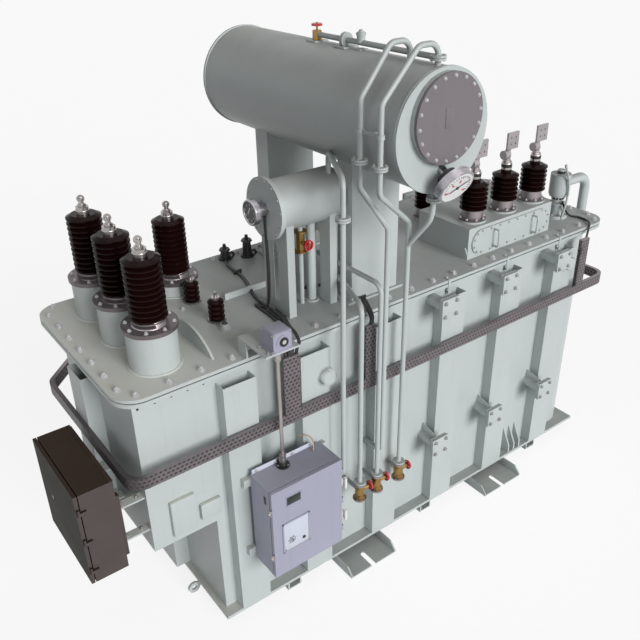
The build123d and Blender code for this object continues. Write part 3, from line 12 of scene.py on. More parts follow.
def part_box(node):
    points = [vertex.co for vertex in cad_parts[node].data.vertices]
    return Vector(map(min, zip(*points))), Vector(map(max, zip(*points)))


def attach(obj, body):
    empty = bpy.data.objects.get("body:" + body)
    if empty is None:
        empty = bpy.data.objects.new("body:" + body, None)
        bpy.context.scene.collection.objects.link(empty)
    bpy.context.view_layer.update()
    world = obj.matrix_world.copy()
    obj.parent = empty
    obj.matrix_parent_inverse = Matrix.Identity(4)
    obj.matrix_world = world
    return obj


bl_info = {
    "name": "Power Transformer Dressing",
    "version": (1, 0, 0),
    "blender": (4, 5, 0),
    "location": "View3D > Sidebar > Transformer",
    "description": "Builds the finishes, fasteners, wiring and studio of a power transformer",
    "category": "Object",
}

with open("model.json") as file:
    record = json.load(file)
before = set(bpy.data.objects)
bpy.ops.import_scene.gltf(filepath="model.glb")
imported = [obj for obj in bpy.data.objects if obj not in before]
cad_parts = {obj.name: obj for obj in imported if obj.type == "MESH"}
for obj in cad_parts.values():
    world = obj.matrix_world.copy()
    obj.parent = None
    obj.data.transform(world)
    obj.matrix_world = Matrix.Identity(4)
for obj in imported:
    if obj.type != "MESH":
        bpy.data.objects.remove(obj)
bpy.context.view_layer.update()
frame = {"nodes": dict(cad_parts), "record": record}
root_body = "transformer"
finishes = {}
up, ahead, leftward = (0, 0, 1), (0, -1, 0), (-1, 0, 0)


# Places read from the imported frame


def low(node):
    """The lowest corner of a node."""
    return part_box(node)[0]


def high(node):
    """The highest corner of a node."""
    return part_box(node)[1]


def middle(node):
    """The middle of a node's box."""
    return (low(node) + high(node)) / 2


cover_top = high("top_cover").z
conservator_x = middle("conservator_hatch").x
tray_front = low("cable_tray").y
tray_top = high("cable_tray_lid").z
left_drop, right_drop, drop_y = -1.324, -0.686, tray_front + 0.015


def tall_places():
    """Places of the four tall bushings: on the flange of each turret."""
    turret_radius, pitch = 0.160, 0.416
    neutral_y, neutral_drop = 0.395, 0.163
    level = high("bushing_flanges").z
    row = [(low("hv_turrets").x + turret_radius, side * pitch, level) for side in (-1, 0, 1)]
    return row + [(high("hv_turrets").x - turret_radius, neutral_y, level - neutral_drop)]


def short_places():
    """Seats of the four low-voltage bushings."""
    start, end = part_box("lv_turret")
    row = [(start.x + 0.167 + 0.340 * i, start.y + 0.134, end.z) for i in range(3)]
    return row + [(start.x + 0.385, 0.290, cover_top)]


def stub_places():
    """The radiator stubs: place along the tank, height, and the way each one points."""
    half_pad = 0.075
    start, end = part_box("front_radiator_stubs")
    pitch = (end.x - start.x - 2 * half_pad) / 2
    levels = (start.z + half_pad, end.z - half_pad)
    places = product((-1, 1), range(3), levels)
    return [(start.x + half_pad + pitch * i, level, way) for way, i, level in places]


def spread(start, end, pitch):
    """Even steps between two ends, as near a pitch as they allow."""
    count = round((end - start) / pitch)
    return [start + (end - start) / count * i for i in range(count + 1)]


def shifted(points, dx, dy, dz=0.0):
    """A line moved aside."""
    return [(x + dx, y + dy, z + dz) for x, y, z in points]


# Values that a user may change


def length(name, description, default):
    """A length in metres."""
    return bpy.props.FloatProperty(name=name, description=description, default=default, unit="LENGTH")


def colour(name, description, default):
    """A linear colour."""
    return bpy.props.FloatVectorProperty(name=name, description=description, default=default, subtype="COLOR")


class TransformerSizes(bpy.types.PropertyGroup):
    """Sizes of the fasteners and trim, in metres."""

    cover_bolt: length("Cover bolt", "Width across the cover's nuts", 0.034)
    cover_bolt_pitch: length("Cover bolt pitch", "Spacing of the bolts round the cover", 0.205)
    cover_bolt_inset: length("Cover bolt inset", "From the cover's edge to the bolts", 0.056)
    small_bolt: length("Small bolt", "Width across the flange bolts", 0.017)
    hatch_bolt_count: bpy.props.IntProperty(
        name="Hatch bolts", description="Bolts round the conservator's hatch", default=18, min=4
    )
    cable: length("Cable", "Diameter of the control cables", 0.022)
    bead: length("Weld bead", "Radius of the weld beads", 0.006)


class TransformerColours(bpy.types.PropertyGroup):
    """Colours of the finishes."""

    tank: colour("Tank", "Grey-green paint", (0.52, 0.565, 0.56))
    lilac: colour("Drive", "Lilac-grey paint of the drive", (0.36, 0.365, 0.465))
    hatch: colour("Hatch", "Darker paint of the hatch", (0.19, 0.17, 0.185))
    wheel: colour("Handwheel", "Red enamel", (0.50, 0.012, 0.018))
    sheet: colour("Dark sheet", "Terminal cabinet", (0.046, 0.032, 0.025))
    glaze: colour("Glaze", "Porcelain glaze", (0.011, 0.0032, 0.0030))
    tray: colour("Tray", "Perforated tray", (0.19, 0.165, 0.175))
    brass: colour("Brass", "Cast brass", (0.40, 0.25, 0.085))


# Shader maths


class Value:
    """One socket of a node tree, so that shader maths reads as an expression."""

    def __init__(self, tree, socket):
        self.tree = tree
        self.socket = socket

    def math(self, operation, other=None, turned=False):
        """A Math node on this value and another."""
        pair = [self] if other is None else [self, other]
        if turned:
            pair.reverse()
        return self.tree.node("ShaderNodeMath", {"operation": operation}, dict(enumerate(pair)))

    def __add__(self, other):
        return self.math("ADD", other)

    def __radd__(self, other):
        return self.math("ADD", other, True)

    def __sub__(self, other):
        return self.math("SUBTRACT", other)

    def __rsub__(self, other):
        return self.math("SUBTRACT", other, True)

    def __mul__(self, other):
        return self.math("MULTIPLY", other)

    def __rmul__(self, other):
        return self.math("MULTIPLY", other, True)

    def __truediv__(self, other):
        return self.math("DIVIDE", other)

    def __gt__(self, other):
        return self.math("GREATER_THAN", other)

    def __abs__(self):
        return self.math("ABSOLUTE")


class Tree:
    """A node tree under construction."""

    def __init__(self, nodes):
        self.nodes = nodes

    def first(self, kind):
        """The first node of a type that the tree already has."""
        return next(node for node in self.nodes.nodes if node.type == kind)

    def node(self, kind, settings=None, inputs=None, output=0):
        """Any node: its settings first, then the values or links of its sockets."""
        made = self.nodes.nodes.new(kind)
        for name, value in (settings or {}).items():
            setattr(made, name, value)
        for name, value in (inputs or {}).items():
            self.feed(made.inputs[name], value)
        return Value(self, made.outputs[output])

    def feed(self, socket, value):
        """Links a socket to a value, or sets it directly."""
        if isinstance(value, Value):
            self.nodes.links.new(value.socket, socket)
        elif socket.type == "RGBA":
            socket.default_value = (*tuple(value)[:3], 1.0)
        else:
            socket.default_value = value

    def seen(self):
        """1 for what is seen straight, in a shine or through glass, and 0 for what only lights."""
        camera = self.node("ShaderNodeLightPath", output="Is Camera Ray")
        ways = camera.socket.node.outputs
        shine, through = Value(self, ways["Is Glossy Ray"]), Value(self, ways["Is Transmission Ray"])
        return camera.math("MAXIMUM", shine).math("MAXIMUM", through)


class Finish(Tree):
    """A material under construction: its surface shader and the nodes that feed it."""

    def __init__(self, name, **constants):
        self.material = bpy.data.materials.new(name)
        self.material.use_nodes = True
        super().__init__(self.material.node_tree)
        self.shader = self.first("BSDF_PRINCIPLED")
        for socket, value in constants.items():
            self.set(socket.replace("_", " "), value)
        finishes[name] = self.material

    def set(self, socket, value):
        """Feeds one socket of the surface shader."""
        self.feed(self.shader.inputs[socket], value)

    def place(self):
        """Object coordinates."""
        return self.node("ShaderNodeTexCoord", output="Object")

    def noise(self, place, scale, detail=3.0, rough=0.55):
        """A cloudy value between 0 and 1."""
        inputs = {"Vector": place, "Scale": scale, "Detail": detail, "Roughness": rough}
        return self.node("ShaderNodeTexNoise", None, inputs, "Fac")

    def stretched(self, place, scales):
        """Object coordinates stretched along the axes."""
        return self.node("ShaderNodeVectorMath", {"operation": "MULTIPLY"}, {0: place, 1: scales})

    def split(self, vector):
        """The three parts of a vector."""
        parts = self.node("ShaderNodeSeparateXYZ", None, {0: vector})
        return [Value(self, parts.socket.node.outputs[i]) for i in range(3)]

    def facing(self):
        """The three parts of the surface's normal."""
        return self.split(self.node("ShaderNodeNewGeometry", output="Normal"))

    def fade(self, value, start, end):
        """A value taken smoothly from 0 at start to 1 at end."""
        settings = {"interpolation_type": "SMOOTHSTEP"}
        return self.node("ShaderNodeMapRange", settings, {0: value, 1: start, 2: end, 3: 0.0, 4: 1.0})

    def mix(self, factor, first, second):
        """One colour turned into another by a factor."""
        return self.node("ShaderNodeMix", {"data_type": "RGBA"}, {0: factor, 6: first, 7: second}, 2)

    def bump(self, height, distance, strength=0.5):
        """A relief that feeds the shader's normal."""
        inputs = {"Height": height, "Distance": distance, "Strength": strength}
        self.set("Normal", self.node("ShaderNodeBump", None, inputs))


def shade(colour, share):
    """A colour made darker or lighter."""
    return tuple(min(1.0, part * share) for part in tuple(colour)[:3])


def paint(name, colour, gloss=0.42, dust=(0.30, 0.285, 0.245)):
    """Sprayed paint with clouds, runs and orange peel, painted shade high on the left side and more
    underneath, and dust on what faces up, with painted light on it towards the left end and painted shade on
    it elsewhere.
    """
    finish = Finish(name, Coat_Weight=0.04, Coat_Roughness=0.3, Specular_IOR_Level=0.35)
    place = finish.place()
    cloud = finish.noise(place, 2.3, 5.0, 0.6)
    runs = finish.noise(finish.stretched(place, (26.0, 26.0, 1.3)), 1.0, 4.0, 0.6)
    speck = finish.fade(finish.noise(place, 38.0, 4.0, 0.7), 0.56, 0.78)
    nx, _, nz = finish.facing()
    x, _, z = finish.split(place)
    flat = finish.fade(nz, 0.25, 0.95)
    high_left_shade = finish.fade(z, 2.80, 3.00) * finish.fade(nx * -1.0, 0.30, 0.85)
    underside_shade = finish.fade(nz * -1.0, 0.1, 0.8)
    body = finish.mix(cloud, shade(colour, 0.93), shade(colour, 1.05))
    body = finish.mix(finish.fade(runs, 0.5, 0.75) * 0.22, body, shade(colour, 0.80))
    # Painted shade: the paint is darkened on high left-facing faces, and more where they also face down.
    body = finish.mix(high_left_shade * (underside_shade * 0.25 + 0.30), body, shade(colour, 0.10))
    # Dust on what faces up, painted lighter towards the left end (painted light) and darker elsewhere
    # (painted shade).
    dust_with_painted_light = finish.mix(finish.fade(x * -1.0, 1.1, 2.3), shade(dust, 0.48), shade(dust, 1.8))
    body = finish.mix(flat * (cloud * 0.45 + 0.30), body, dust_with_painted_light)
    body = finish.mix(speck * 0.10, body, shade(colour, 0.66))
    finish.set("Base Color", body)
    finish.set("Roughness", cloud * 0.12 + speck * 0.10 + flat * 0.10 + (gloss - 0.06))
    finish.bump(finish.noise(place, 85.0, 2.0), 0.0006, 0.35)


def metal(name, colour, rough, worn=0.7, grain=(1.0, 1.0, 1.0), metallic=1.0):
    """Bare metal with handling marks, brushed along one axis where grain is stretched."""
    finish = Finish(name, Metallic=metallic)
    place = finish.place()
    smear = finish.noise(place, 9.0, 4.0, 0.6)
    hair = finish.noise(finish.stretched(place, grain), 60.0, 3.0, 0.6)
    pit = finish.fade(finish.noise(place, 130.0, 3.0, 0.65), 0.55, 0.8)
    body = finish.mix(smear, shade(colour, worn), shade(colour, 1.1))
    finish.set("Base Color", finish.mix(pit * 0.35, body, shade(colour, 0.45)))
    finish.set("Roughness", smear * 0.16 + hair * 0.14 + (rough - 0.10))
    finish.bump(hair, 0.0004, 0.25)


def glaze(name, colour):
    """Brown glaze, thinner and redder where it has run."""
    finish = Finish(name, Roughness=0.18, Coat_Weight=0.03, Coat_Roughness=0.05, Specular_IOR_Level=0.06)
    place = finish.place()
    cloud = finish.noise(place, 14.0, 4.0, 0.6)
    speck = finish.fade(finish.noise(place, 170.0, 2.0), 0.66, 0.8)
    body = finish.mix(cloud, shade(colour, 0.55), shade(colour, 1.5))
    finish.set("Base Color", finish.mix(speck * 0.4, body, shade(colour, 0.3)))
    finish.bump(cloud, 0.001, 0.2)


def rubber(name, colour, rough=0.6):
    """Black sheathing with a dull bloom."""
    finish = Finish(name)
    place = finish.place()
    bloom = finish.noise(place, 30.0, 4.0, 0.6)
    finish.set("Base Color", finish.mix(bloom, shade(colour, 0.7), shade(colour, 1.8)))
    finish.set("Roughness", bloom * 0.2 + (rough - 0.1))
    finish.bump(finish.noise(place, 300.0, 2.0), 0.0003, 0.3)


def perforated(name, colour):
    """Dull sheet with rows of punched holes on its upright faces, the holes drawn as spots of painted shade,
    with painted light on its upward faces and painted shade along the tank's left end.
    """
    column_pitch, row_pitch = 0.030, 0.0265
    finish = Finish(name)
    place = finish.place()
    x, y, z = finish.split(place)
    nx, _, nz = finish.facing()
    turned = abs(nx) > 0.6
    row = z / row_pitch
    column = (x + (y - x) * turned) / column_pitch + (row.math("FLOOR") * 0.5).math("FRACT")
    across = (column.math("FRACT") - 0.5) * 1.02
    along = row.math("FRACT") - 0.5
    reach = (across * across + along * along).math("SQRT")
    hole = (1.0 - finish.fade(reach, 0.24, 0.38)) * (1.0 - finish.fade(abs(nz), 0.4, 0.6))
    smear = finish.noise(place, 11.0, 5.0, 0.65)
    body = finish.mix(smear, shade(colour, 0.62), shade(colour, 1.35))
    # Painted light: the upward faces are made lighter.
    body = finish.mix(finish.fade(nz, 0.4, 0.9) * 0.60, body, shade(colour, 1.5))
    # Painted shade along the tank's left end.
    body = finish.mix(finish.fade(x * -1.0, 2.25, 2.42) * 0.80, body, shade(colour, 0.25))
    # Painted shade: the punched holes are drawn nearly black, as the dark seen through them.
    finish.set("Base Color", finish.mix(hole, body, (0.022, 0.018, 0.018)))
    finish.set("Metallic", (1.0 - hole) * 0.75)
    finish.set("Roughness", smear * 0.2 + 0.34)
    finish.bump(1.0 - hole, 0.004, 0.7)


def enamel(name, colour, gloss=0.25):
    """Thick enamel, chipped a little darker."""
    finish = Finish(name, Coat_Weight=0.5, Coat_Roughness=0.12)
    place = finish.place()
    chip = finish.fade(finish.noise(place, 55.0, 5.0, 0.7), 0.60, 0.70)
    finish.set("Base Color", finish.mix(chip * 0.6, tuple(colour)[:3], shade(colour, 0.35)))
    finish.set("Roughness", chip * 0.3 + gloss)
    finish.bump(finish.noise(place, 60.0, 3.0), 0.0006, 0.3)


def dark_sheet(name, colour):
    """Satin dark sheet with long brushed strokes and finger marks, with painted light on the faces turned to
    the front and painted shade, dark and greenish, on the faces turned left.
    """
    finish = Finish(name, Specular_IOR_Level=0.02)
    place = finish.place()
    stroke = finish.noise(finish.stretched(place, (3.0, 3.0, 160.0)), 1.0, 4.0, 0.7)
    marks = finish.noise(place, 4.2, 5.0, 0.65)
    nx, ny, _ = finish.facing()
    body = finish.mix(stroke, shade(colour, 0.86), shade(colour, 1.16))
    # Painted light: the faces turned to the front are made paler.
    body = finish.mix(finish.fade(ny * -1.0, 0.4, 0.9) * 0.8, body, (0.125, 0.108, 0.107))
    # Painted shade: the faces turned left are made dark and greenish.
    body = finish.mix(finish.fade(nx * -1.0, 0.4, 0.9) * 0.85, body, (0.026, 0.028, 0.023))
    finish.set("Base Color", finish.mix(marks * 0.35, body, shade(colour, 0.7)))
    finish.set("Roughness", marks * 0.16 + stroke * 0.10 + 0.36)
    finish.bump(stroke, 0.0004, 0.2)


# Mesh helpers


def stand(centre, normal, spin=0.0):
    """The matrix that stands a shape made along Z on a point, facing a direction."""
    turn = Vector(normal).to_track_quat("Z", "Y").to_matrix().to_4x4()
    return Matrix.Translation(Vector(centre)) @ turn @ Matrix.Rotation(spin, 4, "Z")


def add_disc(bm, centre, normal, radius, height, segments=24, top=None, spin=0.0):
    """A round or many-sided block that stands on its centre."""
    matrix = stand(centre, normal, spin) @ Matrix.Translation((0, 0, height / 2))
    end = radius if top is None else top
    bmesh.ops.create_cone(
        bm, cap_ends=True, segments=segments, radius1=radius, radius2=end, depth=height, matrix=matrix
    )


def add_discs(bm, base, normal, *rows):
    """Discs on one axis, each with its distance from the base and then its own values."""
    for offset, *values in rows:
        add_disc(bm, Vector(base) + Vector(normal) * offset, normal, *values)


def add_block(bm, centre, size, bevel=0.0, turn=None, segments=2):
    """A block with eased edges."""
    scale = Matrix.Diagonal((*size, 1.0))
    matrix = Matrix.Translation(Vector(centre)) @ (turn or Matrix.Identity(4)) @ scale
    made = bmesh.ops.create_cube(bm, size=1.0, matrix=matrix)
    if bevel:
        edges = list({edge for vert in made["verts"] for edge in vert.link_edges})
        bmesh.ops.bevel(
            bm, geom=edges, offset=bevel, affect="EDGES", segments=segments, profile=0.5, material=-1
        )


def add_plate(bm, outline, thickness):
    """A flat plate: an outline pushed along a vector."""
    face = bm.faces.new([bm.verts.new(point) for point in outline])
    made = bmesh.ops.extrude_face_region(bm, geom=[face])
    moved = [vert for vert in made["geom"] if isinstance(vert, bmesh.types.BMVert)]
    bmesh.ops.translate(bm, vec=thickness, verts=moved)


def spin_round(bm, verts, edges, centre, normal, steps):
    """An outline turned once about an axis."""
    bmesh.ops.spin(
        bm, geom=verts + edges, cent=Vector(centre), axis=Vector(normal).normalized(),
        angle=2 * pi, steps=steps, use_merge=True,
    )


def add_ring(bm, centre, normal, radius, section, steps=40, sides=8):
    """A round bead bent into a ring."""
    turned = stand(centre, normal) @ Matrix.Translation((radius, 0, 0)) @ Matrix.Rotation(pi / 2, 4, "X")
    made = bmesh.ops.create_circle(bm, segments=sides, radius=section, matrix=turned)
    edges = list({edge for vert in made["verts"] for edge in vert.link_edges})
    spin_round(bm, made["verts"], edges, centre, normal, steps)


def add_washer(bm, centre, normal, inner, outer, height, steps=40):
    """A flat ring: a rectangle turned about an axis."""
    matrix = stand(centre, normal)
    corners = [(inner, 0, 0), (outer, 0, 0), (outer, 0, height), (inner, 0, height)]
    verts = [bm.verts.new(matrix @ Vector(corner)) for corner in corners]
    edges = [bm.edges.new((verts[i], verts[(i + 1) % 4])) for i in range(4)]
    spin_round(bm, verts, edges, centre, normal, steps)


def add_bolt(bm, centre, normal, width, stud=True, spin=0.0):
    """A washer, a hexagon nut with an eased top, and the end of the stud."""
    along = Vector(normal).normalized()
    radius = width * 0.577
    seat = Vector(centre)
    add_disc(bm, seat, along, radius * 1.25, width * 0.1, 16)
    add_disc(bm, seat + along * (width * 0.1), along, radius, width * 0.42, 6, spin=spin)
    top = seat + along * (width * 0.52)
    add_disc(bm, top, along, radius * 0.94, width * 0.06, 6, radius * 0.72, spin)
    if stud:
        add_disc(bm, top, along, radius * 0.5, width * 0.28, 10, radius * 0.42)


def ring_of(count, centre, normal, radius, start=0.0):
    """Points evenly round a circle."""
    matrix = stand(centre, normal)
    angles = [start + 2 * pi * i / count for i in range(count)]
    return [matrix @ Vector((radius * cos(a), radius * sin(a), 0)) for a in angles]


def add_bolt_ring(bm, count, centre, normal, radius, width, start=0.0, stud=True):
    """Bolts evenly round a flange."""
    for i, point in enumerate(ring_of(count, centre, normal, radius, start)):
        add_bolt(bm, point, normal, width, stud, 0.4 * i)


def finished(name, bm, finish, body=root_body, crease=35.0):
    """The piece of a bmesh, shaded smooth between its creases, riding on its body."""
    bmesh.ops.remove_doubles(bm, verts=bm.verts, dist=1e-6)
    bmesh.ops.recalc_face_normals(bm, faces=bm.faces)
    for face in bm.faces:
        face.smooth = True
    for edge in bm.edges:
        edge.smooth = edge.calc_face_angle(0.0) < radians(crease)
    mesh = bpy.data.meshes.new(name)
    bm.to_mesh(mesh)
    bm.free()
    return shown(name, mesh, finish, body)


def single(name, finish, add, *values, body=root_body):
    """A piece of one shape: the function that adds it, and that function's values."""
    bm = bmesh.new()
    add(bm, *values)
    return finished(name, bm, finish, body)


def shown(name, mesh, finish, body=root_body):
    """An object of a mesh, linked, given its finish and set riding."""
    piece = bpy.data.objects.new(name, mesh)
    bpy.context.scene.collection.objects.link(piece)
    mesh.materials.clear()
    mesh.materials.append(finishes[finish])
    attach(piece, body)
    return piece


def run_cable(name, runs, radius, finish, sides=3, body=root_body):
    """Round cable along smooth lines, joined in one piece."""
    curve = bpy.data.curves.new(name, "CURVE")
    curve.dimensions = "3D"
    curve.bevel_depth = radius
    curve.bevel_resolution = sides
    curve.use_fill_caps = True
    curve.resolution_u = 6
    for points in runs:
        spline = curve.splines.new("NURBS")
        spline.points.add(len(points) - 1)
        for target, point in zip(spline.points, points):
            target.co = (*point, 1.0)
        spline.order_u = 3
        spline.use_endpoint_u = True
    helper = bpy.data.objects.new(name + "_line", curve)
    bpy.context.scene.collection.objects.link(helper)
    mesh = bpy.data.meshes.new_from_object(helper)
    bpy.data.objects.remove(helper)
    mesh.shade_smooth()
    return shown(name, mesh, finish, body)


# Operators


class SceneryOperator(bpy.types.Operator):
    """Shared settings of the operators that build the transformer's dressing."""

    bl_idname = "transformer.scenery"
    bl_label = "Scenery"
    bl_options = {"REGISTER", "UNDO"}

    @property
    def sizes(self):
        """The sizes that a user may change."""
        return bpy.context.scene.transformer_sizes

    @property
    def colours(self):
        """The colours that a user may change."""
        return bpy.context.scene.transformer_colours


class TRANSFORMER_OT_camera(SceneryOperator):
    """Stand the camera where the photograph was taken"""

    bl_idname = "transformer.camera"
    bl_label = "Camera"

    def execute(self, context):
        place = (-3.480, -4.072, 4.475)
        yaw, pitch, roll = radians(36.26), radians(29.20), radians(-1.09)
        ahead_way = Vector((sin(yaw) * cos(pitch), cos(yaw) * cos(pitch), -sin(pitch)))
        level = Vector((cos(yaw), -sin(yaw), 0.0))
        upright = level.cross(ahead_way)
        right = cos(roll) * level + sin(roll) * upright
        top = -sin(roll) * level + cos(roll) * upright
        data = bpy.data.cameras.new("studio_camera")
        data.sensor_width = 36.0
        data.lens = 42.38
        data.clip_end = 200.0
        camera = bpy.data.objects.new("studio_camera", data)
        turn = Matrix((right, top, -ahead_way)).transposed().to_4x4()
        camera.matrix_world = Matrix.Translation(place) @ turn
        context.scene.collection.objects.link(camera)
        context.scene.camera = camera
        return {"FINISHED"}


class TRANSFORMER_OT_stage(SceneryOperator):
    """Lay the pale floor and hang the soft lights"""

    bl_idname = "transformer.stage"
    bl_label = "Stage"

    def execute(self, context):
        scene = context.scene
        scene.view_settings.view_transform = "Standard"
        bm = bmesh.new()
        bmesh.ops.create_circle(bm, cap_ends=True, segments=96, radius=70.0)
        mesh = bpy.data.meshes.new("studio_floor")
        bm.to_mesh(mesh)
        bm.free()
        floor = bpy.data.objects.new("studio_floor", mesh)
        scene.collection.objects.link(floor)
        mesh.materials.append(self.ground())
        self.sky(scene)
        self.lamp("key_light", (0.06, -0.92, 0.37), 2.62, 30.0)
        self.lamp("side_fill", (-0.90, -0.25, 0.25), 0.27, 50.0)
        self.lamp("top_fill", (0.1, -0.10, 1.0), 0.34, 50.0)
        return {"FINISHED"}

    def ground(self):
        """A floor that looks nearly white with a faint shadow, and lights the part like a grey one."""
        ground = Finish("studio_floor", Roughness=0.9)
        seen = ground.seen()
        ground.set("Base Color", ground.mix(seen, (0.42, 0.42, 0.42), (0.95, 0.95, 0.95)))
        glow = ground.node("ShaderNodeEmission", None, {"Color": (1.0, 1.0, 1.0), "Strength": 1.0})
        surface = Value(ground, ground.shader.outputs[0])
        mixed = ground.node("ShaderNodeMixShader", None, {0: seen * 0.84, 1: surface, 2: glow})
        ground.feed(ground.first("OUTPUT_MATERIAL").inputs["Surface"], mixed)
        return ground.material

    def sky(self, scene):
        """A white surround for what the camera sees, dimmer for what it lights."""
        dim = 0.20
        world = bpy.data.worlds.new("studio_air")
        world.use_nodes = True
        scene.world = world
        air = Tree(world.node_tree)
        back = air.first("BACKGROUND")
        air.feed(back.inputs["Color"], (1.0, 1.0, 1.0))
        air.feed(back.inputs["Strength"], air.seen() * (1.0 - dim) + dim)

    def lamp(self, name, way, strength, spread):
        """A far, soft lamp that shines from a direction."""
        data = bpy.data.lights.new(name, "SUN")
        data.energy = strength
        data.angle = radians(spread)
        lamp = bpy.data.objects.new(name, data)
        lamp.rotation_mode = "QUATERNION"
        lamp.rotation_quaternion = Vector(way).to_track_quat("Z", "Y")
        bpy.context.scene.collection.objects.link(lamp)


class TRANSFORMER_OT_finishes(SceneryOperator):
    """Mix the finishes and give each node of the frame its own"""

    bl_idname = "transformer.finishes"
    bl_label = "Finishes"

    def execute(self, context):
        colours = self.colours
        paint("tank_paint", colours.tank)
        paint("lilac_paint", colours.lilac, 0.36, (0.26, 0.25, 0.27))
        paint("hatch_paint", colours.hatch, 0.46)
        paint("white_plate", (0.60, 0.63, 0.73), 0.36)
        enamel("wheel_paint", colours.wheel)
        dark_sheet("dark_sheet", colours.sheet)
        perforated("tray_sheet", colours.tray)
        metal("bare_flange", (0.165, 0.140, 0.146), 0.38, metallic=0.6)
        metal("clamp_metal", (0.36, 0.32, 0.33), 0.36)
        metal("stainless", (0.44, 0.41, 0.40), 0.28, grain=(1.0, 1.0, 0.05))
        metal("terminal_metal", (0.42, 0.39, 0.40), 0.36, metallic=0.85)
        metal("gauge_metal", (0.42, 0.40, 0.43), 0.22)
        metal("bright_bolt", (0.62, 0.61, 0.60), 0.30, metallic=0.7)
        metal("dull_bolt", (0.40, 0.41, 0.40), 0.40, metallic=0.45)
        metal("zinc_nut", (0.56, 0.56, 0.57), 0.42, metallic=0.25)
        metal("brass", colours.brass, 0.34, worn=0.5)
        metal("copper_wire", (0.45, 0.27, 0.17), 0.4, metallic=0.8)
        glaze("porcelain", colours.glaze)
        rubber("gasket", (0.012, 0.016, 0.015))
        rubber("cable_rubber", (0.010, 0.010, 0.010), 0.5)
        rubber("dark_glass", (0.004, 0.012, 0.010), 0.22)
        rubber("dial_black", (0.008, 0.008, 0.008), 0.4)
        enamel("dial_white", (0.80, 0.80, 0.80), 0.30)
        enamel("dial_red", (0.62, 0.02, 0.02), 0.35)
        for row in frame["record"]["subparts"]:
            mesh = frame["nodes"][row["node"]].data
            mesh.materials.clear()
            mesh.materials.append(finishes[row["material_slot"]])
        return {"FINISHED"}


class TRANSFORMER_OT_cover_bolts(SceneryOperator):
    """Set the nuts round the edge of the cover"""

    bl_idname = "transformer.cover_bolts"
    bl_label = "Cover Bolts"

    def execute(self, context):
        sizes = self.sizes
        inset, pitch = sizes.cover_bolt_inset, sizes.cover_bolt_pitch
        start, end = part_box("top_cover")
        left, right = start.x + inset, end.x - inset
        front, back = start.y + inset, end.y - inset
        long_corner, short_corner, bracket_margin = 0.062, 0.110, 0.03
        along = spread(left + long_corner, right - long_corner, pitch)
        across = spread(front + short_corner, back - short_corner, 0.92 * pitch)
        points = [(x, y) for y, x in product((front, back), along)]
        points += product((left, right), across)
        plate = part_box("gearbox_bracket")
        bm = bmesh.new()
        for i, (x, y) in enumerate(points):
            under_bracket = plate[0].x - bracket_margin < x < plate[1].x + bracket_margin and y < 0
            if not under_bracket:
                add_bolt(bm, (x, y, cover_top), up, sizes.cover_bolt, spin=0.7 * i)
        finished("cover_bolts", bm, "zinc_nut")
        return {"FINISHED"}


class TRANSFORMER_OT_flange_bolts(SceneryOperator):
    """Set the bolts and rings of the bushing flanges, and the bolts of the hatches"""

    bl_idname = "transformer.flange_bolts"
    bl_label = "Flange Bolts"

    def execute(self, context):
        small = self.sizes.small_bolt
        bm = bmesh.new()
        for place in tall_places():
            add_bolt_ring(bm, 8, place, up, 0.142, 1.10 * small, 0.2)
        for place in shifted(short_places(), 0, 0, 0.024):
            add_bolt_ring(bm, 8, place, up, 0.092, 0.95 * small, 0.3)
        finished("bushing_bolts", bm, "zinc_nut")
        bm = bmesh.new()
        for place in tall_places():
            add_discs(bm, place, up, (0, 0.108, 0.012, 48, 0.104), (0.012, 0.104, 0.042, 48, 0.090))
        finished("bushing_seats", bm, "clamp_metal")
        bm = bmesh.new()
        for place in short_places():
            add_washer(bm, place, up, 0.090, 0.108, 0.014, 48)
        finished("bushing_feet", bm, "tank_paint")
        hatch = middle("conservator_hatch")
        face = (hatch.x, low("conservator_hatch").y, hatch.z)
        count = self.sizes.hatch_bolt_count
        single("hatch_bolts", "zinc_nut", add_bolt_ring, count, face, ahead, 0.234, 0.95 * small, 0.1)
        bm = bmesh.new()
        self.obround_screws(bm, *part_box("lv_hatch_cover"), 0.72 * small)
        cover = middle("oltc_cover")
        end = (low("oltc_cover").x, cover.y, cover.z)
        add_bolt_ring(bm, 14, end, leftward, 0.184, 0.8 * small, 0.1, False)
        foot = middle("relief_device")
        add_bolt_ring(bm, 8, (foot.x, foot.y, cover_top + 0.026), up, 0.074, 1.1 * small, 0.2)
        finished("cover_screws", bm, "dull_bolt")
        return {"FINISHED"}

    def obround_screws(self, bm, start, end, width):
        """Screws along both straights and round both ends of an obround cover."""
        inset, gaps = 0.014, 7
        radius = (end.z - start.z) / 2
        level = (start.z + end.z) / 2
        left, right = start.x + radius, end.x - radius
        straight = spread(left, right, (right - left) / gaps)
        for (i, x), z in product(enumerate(straight), (start.z + inset, end.z - inset)):
            add_bolt(bm, (x, start.y, z), ahead, width, False, i)
        reach = radius - inset
        for side, x in ((1, right), (-1, left)):
            for turn in map(radians, (-55, -20, 20, 55)):
                place = (x + side * reach * cos(turn), start.y, level + reach * sin(turn))
                add_bolt(bm, place, ahead, width, False)


